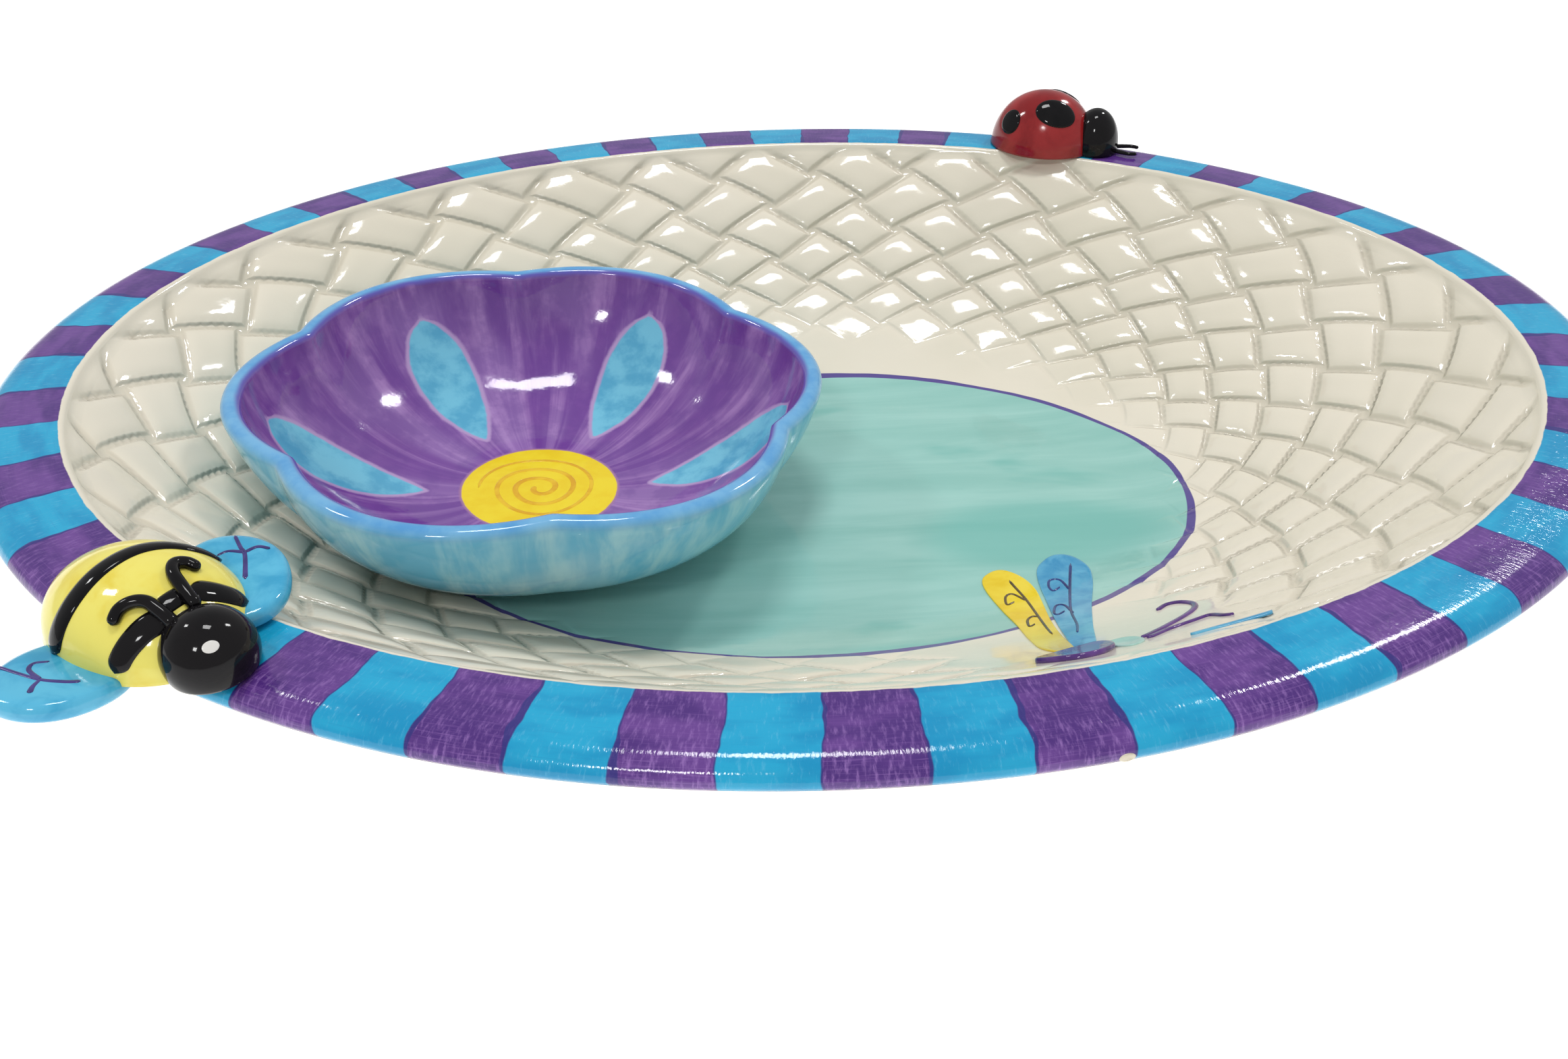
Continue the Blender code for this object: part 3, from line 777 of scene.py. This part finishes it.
def bowl_side(foot_radius, foot_z, rim_radius, rim_z, steps):
    """Radius, height and lobing up the bowl's side."""
    profile = []
    for step in range(steps + 1):
        turn = step / steps * BOWL_SIDE_TURN
        run = math.sin(turn) / math.sin(BOWL_SIDE_TURN)
        rise = (1 - math.cos(turn)) / (1 - math.cos(BOWL_SIDE_TURN))
        radius = foot_radius + (rim_radius - foot_radius) * run
        profile.append((radius, foot_z + (rim_z - foot_z) * rise, rise))
    return profile


def bowl_section():
    """The bowl's section from under its foot, over the lip, to the middle of its inner floor."""
    inner_foot = BOWL_FOOT_RADIUS - BOWL_FOOT_WIDTH
    foot = [(inner_foot + x, z, 0.0) for x, z in (
        (-0.0008, BOWL_FOOT_HEIGHT), (-0.0002, 0.0003), (0.0004, 0.0), (BOWL_FOOT_WIDTH - 0.0004, 0.0),
        (BOWL_FOOT_WIDTH, 0.0003))]
    rim_z = BOWL_HEIGHT - 0.4 * BOWL_LIP
    outside = bowl_side(BOWL_FOOT_RADIUS + 0.0010, BOWL_FOOT_HEIGHT, BOWL_RADIUS, rim_z, 26)
    lip = []
    for step in range(1, 10):
        turn = step / 10 * math.pi
        radius = BOWL_RADIUS - BOWL_LIP * (1 - math.cos(turn)) / 2
        lip.append((radius, rim_z + 0.4 * BOWL_LIP * math.sin(turn), 1.0))
    inside = bowl_side(BOWL_INNER_FLOOR_RADIUS, BOWL_INNER_FLOOR_Z, BOWL_RADIUS - BOWL_LIP, rim_z, 44)[::-1]
    floor = [(BOWL_INNER_FLOOR_RADIUS * k / 8, BOWL_INNER_FLOOR_Z, 0.0) for k in range(7, 0, -1)]
    crest = len(foot + outside) + len(lip) // 2
    return foot + outside + lip + inside + floor, crest


def petal_distance(reach, angle):
    """Millimetres inside the nearest petal, on a six-petalled flower seen in plan."""
    span = TAU / BOWL_LOBES
    off = np.mod(angle - PETAL_TURN + span / 2, span) - span / 2
    along = reach * np.cos(off)
    across = np.abs(reach * np.sin(off))
    start, end = PETAL_REACH_MM
    share = np.clip((along - start) / (end - start), 0.0, 1.0)
    taper = np.sin(np.pi / 2 * np.clip(share / PETAL_WIDEST, 0, 1)) ** 0.85
    round_end = np.sqrt(1 - np.clip((share - PETAL_WIDEST) / (1 - PETAL_WIDEST), 0, 1) ** 2)
    half = PETAL_HALF_WIDTH_MM * np.minimum(taper, round_end)
    past = np.maximum(start - along, 0) + np.maximum(along - end, 0)
    return np.where(past > 0, -np.hypot(past, across), (half - across) * 0.85)


def bowl_place():
    tilt = math.radians(math.hypot(BOWL_TILT_X, BOWL_TILT_Y))
    height = FLOOR_Z + GAP + BOWL_FOOT_RADIUS * math.sin(tilt)
    lean = Euler((math.radians(-BOWL_TILT_X), math.radians(BOWL_TILT_Y), 0.0))
    return Matrix.Translation((*BOWL_CENTRE, height)) @ lean.to_matrix().to_4x4()


def add_dip_bowl():
    """The loose bowl, and the spiral brushed on its middle."""
    section, crest = bowl_section()
    angle = np.arange(BOWL_COLUMNS + 1) / BOWL_COLUMNS * TAU
    rings = np.stack([lobed_ring(radius, z, lobing, angle) for radius, z, lobing in section])
    place = bowl_place()
    bowl = add_piece("dip_bowl_shell", skin(rings[:, :-1]), bowl_glaze(), BOWL_BODY, ["dip_bowl"],
                     place)
    down = np.cumsum(np.linalg.norm(np.diff(rings, axis=0), axis=-1), axis=0) / MM
    down = np.vstack([np.zeros((1, down.shape[1])), down])
    reach = np.hypot(rings[..., 0], rings[..., 1]) / MM
    inner = (np.arange(len(section)) > crest)[:, None]
    turned = angle + math.radians(BOWL_LOBE_TURN)
    store_field(bowl, "reach", down - down[crest], (-90.0, 90.0))
    store_field(bowl, "petal", np.where(inner, petal_distance(reach, turned), -20.0), (-20.0, -20.0))
    store_field(bowl, "disc", np.where(inner, DISC_RADIUS_MM - reach, -40.0), (-40.0, 20.0))

    turn = np.linspace(0.4, 3.15 * TAU, 150)
    radius = (0.8 + 4.9 * turn / TAU) * MM * (1 + 0.03 * np.sin(3 * turn))
    spiral = np.stack([radius * np.cos(turn + 2.2), radius * np.sin(turn + 2.2), 0 * turn], axis=1)
    orange = plain_glaze("spiral_glaze", (0.80, 0.42, 0.008), (0.93, 0.60, 0.02), 160.0)
    add_piece("dip_bowl_spiral", stroke(spiral, 0.0014, level_snap(BOWL_INNER_FLOOR_Z), 0.00006, 1.25, 0.7),
              orange, BOWL_BODY, place=place)


def rim_place(angle, inset, turn):
    """A place on the rim's top, its X along the rim towards the insect's head."""
    half_length, half_width = TRAY_HALF_LENGTH - inset, TRAY_HALF_WIDTH - inset
    a = math.radians(angle)
    heading = math.atan2(half_width * math.cos(a), -half_length * math.sin(a)) + turn
    spot = (half_length * math.cos(a), half_width * math.sin(a), TRAY_HEIGHT + GAP)
    return Matrix.Translation(spot) @ Matrix.Rotation(heading, 4, "Z")


def dome(half_axes, centre=(0.0, 0.0, 0.0), rows=44, columns=96, skirt=0.0, uneven=0.0, seed=1):
    """The part of an ellipsoid above its seat, with a closed flat bottom and a slightly flared foot."""
    angle = np.arange(columns) / columns * TAU
    start = math.asin(max(-1.0, -centre[2] / half_axes[2]))
    rings = []
    for lean in np.linspace(start, math.pi / 2 * 0.985, rows):
        flare = 1 + skirt * math.exp(-(math.sin(lean) - math.sin(start)) * half_axes[2] / 0.0008)
        hand = 1 + uneven * ripple(angle + 2 * lean, seed, (2, 3, 5)) * math.cos(lean)
        rings.append(np.stack([
            centre[0] + half_axes[0] * math.cos(lean) * flare * hand * np.cos(angle),
            centre[1] + half_axes[1] * math.cos(lean) * flare * hand * np.sin(angle),
            centre[2] + half_axes[2] * math.sin(lean) + 0 * angle], axis=1))
    base = rings[0].copy()
    middle = np.array([centre[0], centre[1], base[0, 2]])
    foot = [middle + (base - middle) * share for share in (0.3, 0.7, 0.95)]
    return skin(np.array(foot + rings))


def dome_route(knots_mm, half_axes, per_span=10):
    """A smooth route over an ellipsoid's upper side, from places in plan."""
    plan = smooth_route(np.array(knots_mm, float) * MM, per_span)
    left = np.clip(1 - (plan[:, 0] / half_axes[0]) ** 2 - (plan[:, 1] / half_axes[1]) ** 2, 0.0, 1.0)
    return np.stack([plan[:, 0], plan[:, 1], half_axes[2] * np.sqrt(left)], axis=1)


def wing_lean(name):
    """How a wing lies: over its centre, turned and tilted away from the body."""
    centre, _, turn, tilt = BEE_WINGS[name]
    lean = Matrix.Rotation(math.radians(tilt), 4, "X") @ Matrix.Rotation(math.radians(turn), 4, "Z")
    return Matrix.Translation(centre) @ lean


def wing_top_snap(name):
    """Moves points straight up or down to a wing's top."""
    lean = np.array(wing_lean(name))
    origin, up = lean[:3, 3] + lean[:3, 2] * WING_THICKNESS * 0.985, lean[:3, 2]

    def snap(points):
        on = np.array(points, float)
        on[:, 2] = origin[2] - ((on[:, :2] - origin[:2]) @ up[:2]) / up[2]
        return on, np.tile(up, (len(on), 1))
    return snap


def wing_shape(name):
    """A flat oval wing with a full round edge and a faintly crowned top."""
    half_axes = BEE_WINGS[name][1]
    lean = np.array(wing_lean(name))
    angle = np.arange(80) / 80 * TAU
    rings = []
    for share, height in ((0.3, 0.0), (0.7, 0.0), (0.88, 0.0), (0.95, 0.06), (0.985, 0.2), (1.0, 0.42),
                          (0.995, 0.62), (0.97, 0.79), (0.93, 0.90), (0.86, 0.955), (0.75, 0.975),
                          (0.55, 0.99), (0.3, 1.0), (0.12, 1.0)):
        uneven = 1 + 0.012 * (ripple(angle, 9, (3, 5)) - 1)
        flat = np.stack([half_axes[0] * share * uneven * np.cos(angle),
                         half_axes[1] * share * uneven * np.sin(angle),
                         WING_THICKNESS * height + 0 * angle], axis=1)
        rings.append(flat @ lean[:3, :3].T + lean[:3, 3])
    return skin(np.array(rings))


# Marks brushed on the bee and the ladybug, in millimetres in each insect's own frame
BEE_STRIPE = ((-4.4, -16.0), (-3.7, -13.4), (-3.4, -9.6), (-3.5, -3.0), (-3.2, 3.1), (-1.8, 8.0),
              (0.6, 12.0), (2.4, 15.4))
BEE_PATCHES = (((14.2, -4.0), (12.8, -7.0), (11.9, -10.1), (11.1, -12.6), (10.5, -14.0)),
               ((12.6, 2.4), (14.0, 5.2), (15.2, 7.9), (15.7, 10.3)))
BEE_BRIDGE = ((12.3, -4.2), (12.4, -1.2), (12.6, 2.2))
BEE_STRIPE_WIDTH = 0.0060
BEE_PATCH_WIDTH = 0.0056
BEE_BRIDGE_WIDTH = 0.0042
BEE_EYE_GLEAM = (26.2, -4.7, 8.8)
BEE_EYE_HALF_AXES = (0.0015, 0.0011)
WING_VEIN_WIDTH = 0.0009
# Each spot's centre and half axes, with a mirrored one on the other side
LADYBUG_SPOTS = (((-9.9, 9.2, 9.3), (3.8, 4.2)), ((4.4, 8.6, 13.2), (7.0, 4.9)))
WING_VEINS = {
    "bee_wing_outer": (((-7.2, -24.4), (-3.0, -23.6), (1.6, -22.4), (5.0, -20.4), (7.0, -18.6)),
                       ((-2.4, -18.2), (-3.8, -20.2), (-2.4, -21.9), (1.6, -22.4)),
                       ((1.6, -22.4), (2.6, -24.3), (4.0, -25.8))),
    "bee_wing_inner": (((-2.8, 23.1), (1.2, 21.1), (3.9, 19.9), (10.2, 14.7)),
                       ((6.4, 23.9), (3.9, 23.0), (3.2, 20.5)), ((-0.5, 16.9), (0.2, 19.0), (3.2, 20.5))),
}


def add_antenna(name, route, radius, black, place):
    radii = round_ends(route, 2 * radius, 1.0, 0.8) / 2
    add_piece(name + "_rod", tube(route, radii), black, TRAY_BODY, [name], place)


def add_bee():
    """The bee: glazed body, head, wings and antennae, and the black marks brushed on them."""
    place = rim_place(BEE_ANGLE, BEE_INSET, 0.0)
    black = plain_glaze("insect_black_glaze", (0.003, 0.003, 0.004), (0.008, 0.007, 0.008), 60.0, 0.05,
                        0.0001)
    black.node_tree.nodes["Principled BSDF"].inputs["Specular IOR Level"].default_value = 0.22
    yellow = plain_glaze("bee_yellow_glaze", (0.86, 0.68, 0.06), (0.94, 0.84, 0.17), 75.0, 0.08, 0.0003,
                         (0.30, 0.55))
    wing = plain_glaze("bee_wing_glaze", (0.040, 0.38, 0.65), (0.11, 0.53, 0.79), 120.0, 0.08)
    ink = plain_glaze("wing_vein_glaze", (0.03, 0.025, 0.16), (0.07, 0.05, 0.25), 160.0)

    add_piece("bee_body_shell", dome(BEE_BODY, skirt=0.02, uneven=0.006), yellow, TRAY_BODY, ["bee_body"],
              place)
    add_piece("bee_head_shell", dome(BEE_HEAD, BEE_HEAD_CENTRE, 40, 72), black, TRAY_BODY, ["bee_head"],
              place)

    body = ellipsoid_snap(BEE_BODY)
    marks = [stroke(dome_route(BEE_STRIPE, BEE_BODY), BEE_STRIPE_WIDTH, body, 0.0006, 0.8, 0.7)]
    for patch in BEE_PATCHES:
        marks.append(stroke(dome_route(patch, BEE_BODY), BEE_PATCH_WIDTH, body, 0.0005, 1.0, 0.75))
    marks.append(stroke(dome_route(BEE_BRIDGE, BEE_BODY), BEE_BRIDGE_WIDTH, body, 0.0005))
    add_piece("bee_marks", joined(marks), black, TRAY_BODY, place=place)

    for name, routes in WING_VEINS.items():
        add_piece(name + "_shell", wing_shape(name), wing, TRAY_BODY, [name], place)
        veins = [stroke(plan_route(route), WING_VEIN_WIDTH, wing_top_snap(name), 0.00015, 0.8, 1.3)
                 for route in routes]
        add_piece(name + "_veins", joined(veins), ink, TRAY_BODY, place=place)

    for name, knots in BEE_ANTENNA_ROUTES.items():
        route = dome_route(((16.4, knots[0][1]),) + knots, BEE_BODY)
        route[:, 2] += 0.6 * BEE_ANTENNA_RADIUS
        add_antenna(name, route, BEE_ANTENNA_RADIUS, black, place)

    head = ellipsoid_snap(BEE_HEAD, BEE_HEAD_CENTRE)
    gleam = plain_glaze("eye_white_glaze", (0.82, 0.80, 0.76), (0.88, 0.87, 0.84), 200.0)
    eye = np.array(BEE_EYE_GLEAM) * MM
    ray = unit(eye - np.array(BEE_HEAD_CENTRE))
    side = unit(np.cross(ray, [0.0, 0.0, 1.0]))
    over = np.cross(side, ray)
    around = even_turns(24)
    outline = (eye + side * BEE_EYE_HALF_AXES[0] * np.cos(around)
               + over * BEE_EYE_HALF_AXES[1] * np.sin(around))
    add_piece("bee_eye_gleam", blob(eye, outline, head, 0.0001), gleam, TRAY_BODY,
              place=place)
    return black


def spot(centre_mm, half_axes_mm, snap):
    """A raised oval spot on a dome; its long axis runs along the dome."""
    centre = np.array(centre_mm) * MM
    out = unit(centre)
    over = unit(np.cross(out, [1.0, 0.0, 0.0]))
    along = np.cross(over, out)
    angle = even_turns(36)
    outline = along * half_axes_mm[0] * np.cos(angle) + over * half_axes_mm[1] * np.sin(angle)
    return blob(centre, centre + outline * MM, snap, 0.0005)


def add_ladybug(black):
    """The ladybug: a red dome with raised black spots, a black head, and antennae on the rim."""
    place = rim_place(LADYBUG_ANGLE, LADYBUG_INSET, math.pi)
    red = plain_glaze("ladybug_red_glaze", (0.25, 0.005, 0.008), (0.37, 0.018, 0.020), 85.0, 0.12, 0.0003)
    add_piece("ladybug_body_shell", dome(LADYBUG_BODY, skirt=0.015, uneven=0.006, seed=4), red, TRAY_BODY,
              ["ladybug_body"], place)
    add_piece("ladybug_head_shell", dome(LADYBUG_HEAD, LADYBUG_HEAD_CENTRE, 36, 64), black, TRAY_BODY,
              ["ladybug_head"], place)
    body = ellipsoid_snap(LADYBUG_BODY)
    spots = []
    for side in (-1, 1):
        for (x, y, z), half_axes in LADYBUG_SPOTS:
            spots.append(spot((x, side * y, z), half_axes, body))
    add_piece("ladybug_spots", joined(spots), black, TRAY_BODY, place=place)
    for name, knots in LADYBUG_ANTENNA_ROUTES.items():
        route = plan_route(knots) + [0.0, 0.0, LADYBUG_ANTENNA_RADIUS]
        add_antenna(name, route, LADYBUG_ANTENNA_RADIUS, black, place)


# Painted marks on the tray, as places in plan in millimetres
DRAGONFLY_WINGS = {
    "yellow": ((41, -45), (43.5, -40.5), (47.5, -39.5), (51.5, -43), (53.5, -49), (53.5, -57),
               (52.5, -69), (51.5, -81), (50, -95), (47, -97.5), (44.5, -90), (44.5, -80), (44.5, -68),
               (43, -57.5)),
    "blue": ((55.5, -42), (58.5, -36.5), (62.5, -34), (66.5, -35.5), (69, -41), (68, -49), (64, -62),
             (60, -76), (54.5, -95), (51, -97.5), (50, -94), (52, -81), (53.5, -68), (54.5, -57)),
}
DRAGONFLY_VEINS = {
    "yellow": (((48, -44.5), (50, -54), (50.5, -65), (50, -79)),
               ((50, -55), (47.5, -51), (45.5, -52), (45, -56), (47, -55)),
               ((50.5, -65), (49, -64.5), (47.5, -66.5), (47, -70.5), (48.5, -69.5))),
    "blue": (((65, -39), (61.5, -52), (58.5, -64), (57, -74), (55, -81)),
             ((61.5, -52), (60.5, -46.5), (58, -46), (57, -49), (57.5, -51.5), (59.5, -50)),
             ((58.5, -66), (58, -60.5), (56, -60), (54.5, -64), (55, -65.5), (57, -64))),
}
DRAGONFLY_BODY = ((38.5, -105.5), (44, -101), (49, -98.5), (54, -96.8), (56, -99.5), (55, -104.5),
                  (50, -110), (44, -110.5))
DRAGONFLY_HEAD = ((55.5, -97), (58.5, -94.5), (61.5, -95), (62.5, -99), (61, -104), (57.5, -106),
                  (55.5, -102))
DRAGONFLY_ANTENNAE = (((62.5, -99), (70.5, -92), (78.5, -84.5), (81.5, -79), (80.5, -74.5), (77.5, -73.5),
                       (74.5, -76)),
                      ((63, -101), (69, -96.5), (75, -94), (79, -93), (80, -97), (81, -99)))
DRAGONFLY_TAIL = ((67.5, -110.5), (72.5, -109.5), (79, -109), (84, -108.5))
RIM_CHIP = (0.0425, -0.1505, TRAY_HEIGHT - 0.0043)


def paint_snap(points):
    """Moves points to just above the tray's smooth inside."""
    on, up = tray_snap(points)
    return on + up * 0.0002, up


def edge_snap(points):
    """Moves points level outwards or inwards to the rim's edge."""
    x, y = points[:, 0], points[:, 1]
    reach = np.sqrt((x / TRAY_HALF_LENGTH) ** 2 + (y / TRAY_HALF_WIDTH) ** 2)
    out = unit(np.stack([x / TRAY_HALF_LENGTH ** 2, y / TRAY_HALF_WIDTH ** 2, 0 * x], axis=1))
    return np.stack([x / reach, y / reach, points[:, 2]], axis=1) - out * 0.0003, out


def painted_patch(knots, snap, lift=0.0002):
    """A filled patch with a smooth closed outline; more rings keep it on the curved wall."""
    wrapped = np.array(knots + knots[:5], float) * MM
    outline = np.pad(smooth_route(wrapped, 6)[12:12 + 6 * len(knots)], ((0, 0), (0, 1)))
    middle = outline.mean(axis=0)
    rings = []
    for share in np.linspace(0.08, 0.99, 14):
        on, up = snap(middle + (outline - middle) * share)
        rings.append(on - up * 0.0004)
    edge = [(0.995, -0.5), (1.0, 0.3), (0.99, 0.8)]
    for share, rise in edge + [(share, 1.0) for share in np.linspace(0.96, 0.08, 14)]:
        on, up = snap(middle + (outline - middle) * share)
        rings.append(on + up * lift * rise)
    return skin(np.array(rings))


def plan_stroke(knots, width_mm, start=1.0, end=1.0):
    """A brush stroke on the tray's inside along places in plan."""
    return stroke(plan_route(knots), width_mm * MM, paint_snap, 0.0004, start, end)


def paint_on_tray(name, shape, glaze):
    add_piece(name, shape, glaze, TRAY_BODY)


def add_paintings():
    """The dragonfly on the tray's inside, and the bare spot where the rim's glaze is chipped."""
    yellow = plain_glaze("dragonfly_yellow_glaze", (0.86, 0.60, 0.010), (0.95, 0.74, 0.05), 90.0)
    blue = plain_glaze("dragonfly_blue_glaze", (0.045, 0.30, 0.56), (0.14, 0.48, 0.70), 90.0)
    teal = plain_glaze("dragonfly_head_glaze", (0.34, 0.62, 0.56), (0.52, 0.74, 0.68), 120.0)
    purple = plain_glaze("dragonfly_purple_glaze", (0.070, 0.022, 0.17), (0.14, 0.055, 0.27), 120.0)
    brown = plain_glaze("wing_mark_brown_glaze", (0.075, 0.050, 0.020), (0.15, 0.10, 0.03), 160.0)
    navy = plain_glaze("wing_mark_navy_glaze", (0.012, 0.030, 0.16), (0.03, 0.07, 0.27), 160.0)
    bare = plain_glaze("chipped_spot_clay", (0.68, 0.60, 0.45), (0.80, 0.73, 0.58), 300.0, 0.3)
    for name, glaze, ink in (("yellow", yellow, brown), ("blue", blue, navy)):
        paint_on_tray("dragonfly_wing_" + name, painted_patch(DRAGONFLY_WINGS[name], paint_snap), glaze)
        veins = [plan_stroke(route, 1.0, 1.0, 0.8) for route in DRAGONFLY_VEINS[name]]
        paint_on_tray("dragonfly_veins_" + name, joined(veins), ink)
    paint_on_tray("dragonfly_head", painted_patch(DRAGONFLY_HEAD, paint_snap), teal)
    lines = [plan_stroke(route, 1.9, 1.0, 0.7) for route in DRAGONFLY_ANTENNAE]
    lines.append(painted_patch(DRAGONFLY_BODY, paint_snap, 0.0010))
    paint_on_tray("dragonfly_body", joined(lines), purple)
    paint_on_tray("dragonfly_tail", plan_stroke(DRAGONFLY_TAIL, 2.6, 0.7, 1.0), blue)

    centre = np.array(RIM_CHIP)
    around = even_turns(24)
    outline = centre + np.cos(around) * [0.0015, 0.0004, 0.0] + np.sin(around) * [0.0, 0.0, 0.0009]
    paint_on_tray("rim_chip", blob(centre, outline, edge_snap, 0.0002), bare)


# ---------------- stage

def add_light(name, place, aim, size, watts):
    """One soft box, aimed at a place."""
    lamp = bpy.data.lights.new(name, "AREA")
    lamp.energy = watts
    lamp.shape = "RECTANGLE"
    lamp.size, lamp.size_y = size
    holder = put_in_scene(name, lamp)
    holder.location = place
    holder.rotation_euler = (Vector(aim) - Vector(place)).to_track_quat("-Z", "Y").to_euler()


def add_stage():
    """Pale floor, soft light from all round, and the camera."""
    world = bpy.data.worlds.new("studio")
    world.use_nodes = True
    world.node_tree.nodes["Background"].inputs["Color"].default_value = (1.0, 1.0, 1.0, 1.0)
    world.node_tree.nodes["Background"].inputs["Strength"].default_value = ROOM_LIGHT
    bpy.context.scene.world = world
    bpy.context.scene.view_settings.view_transform = "Standard"
    for light in LIGHTS:
        add_light(*light)

    mesh = bpy.data.meshes.new("floor")
    mesh.from_pydata([(-6, -6, 0), (6, -6, 0), (6, 6, 0), (-6, 6, 0)], [], [(0, 1, 2, 3)])
    floor = put_in_scene("floor", mesh)
    glaze = Glaze("pale_floor", 0.6)
    glaze.shader.inputs["Emission Color"].default_value = (1.0, 1.0, 1.0, 1.0)
    glaze.shader.inputs["Emission Strength"].default_value = FLOOR_GLOW
    tone = glaze.noise(glaze.place(), 3.0, 2.0)
    mesh.materials.append(glaze.paint(glaze.mix(tone, (0.90, 0.90, 0.90), (0.93, 0.93, 0.93))))

    camera = bpy.data.cameras.new("camera")
    camera.lens = CAMERA_LENS_MM
    camera.sensor_width = CAMERA_SENSOR_MM
    camera.clip_start = 0.01
    eye = put_in_scene("camera", camera)
    eye.location = CAMERA_PLACE
    eye.rotation_euler = [math.radians(turn) for turn in CAMERA_TURN]
    bpy.context.scene.camera = eye


add_stage()
add_tray()
add_dip_bowl()
insect_black = add_bee()
add_ladybug(insect_black)
add_paintings()
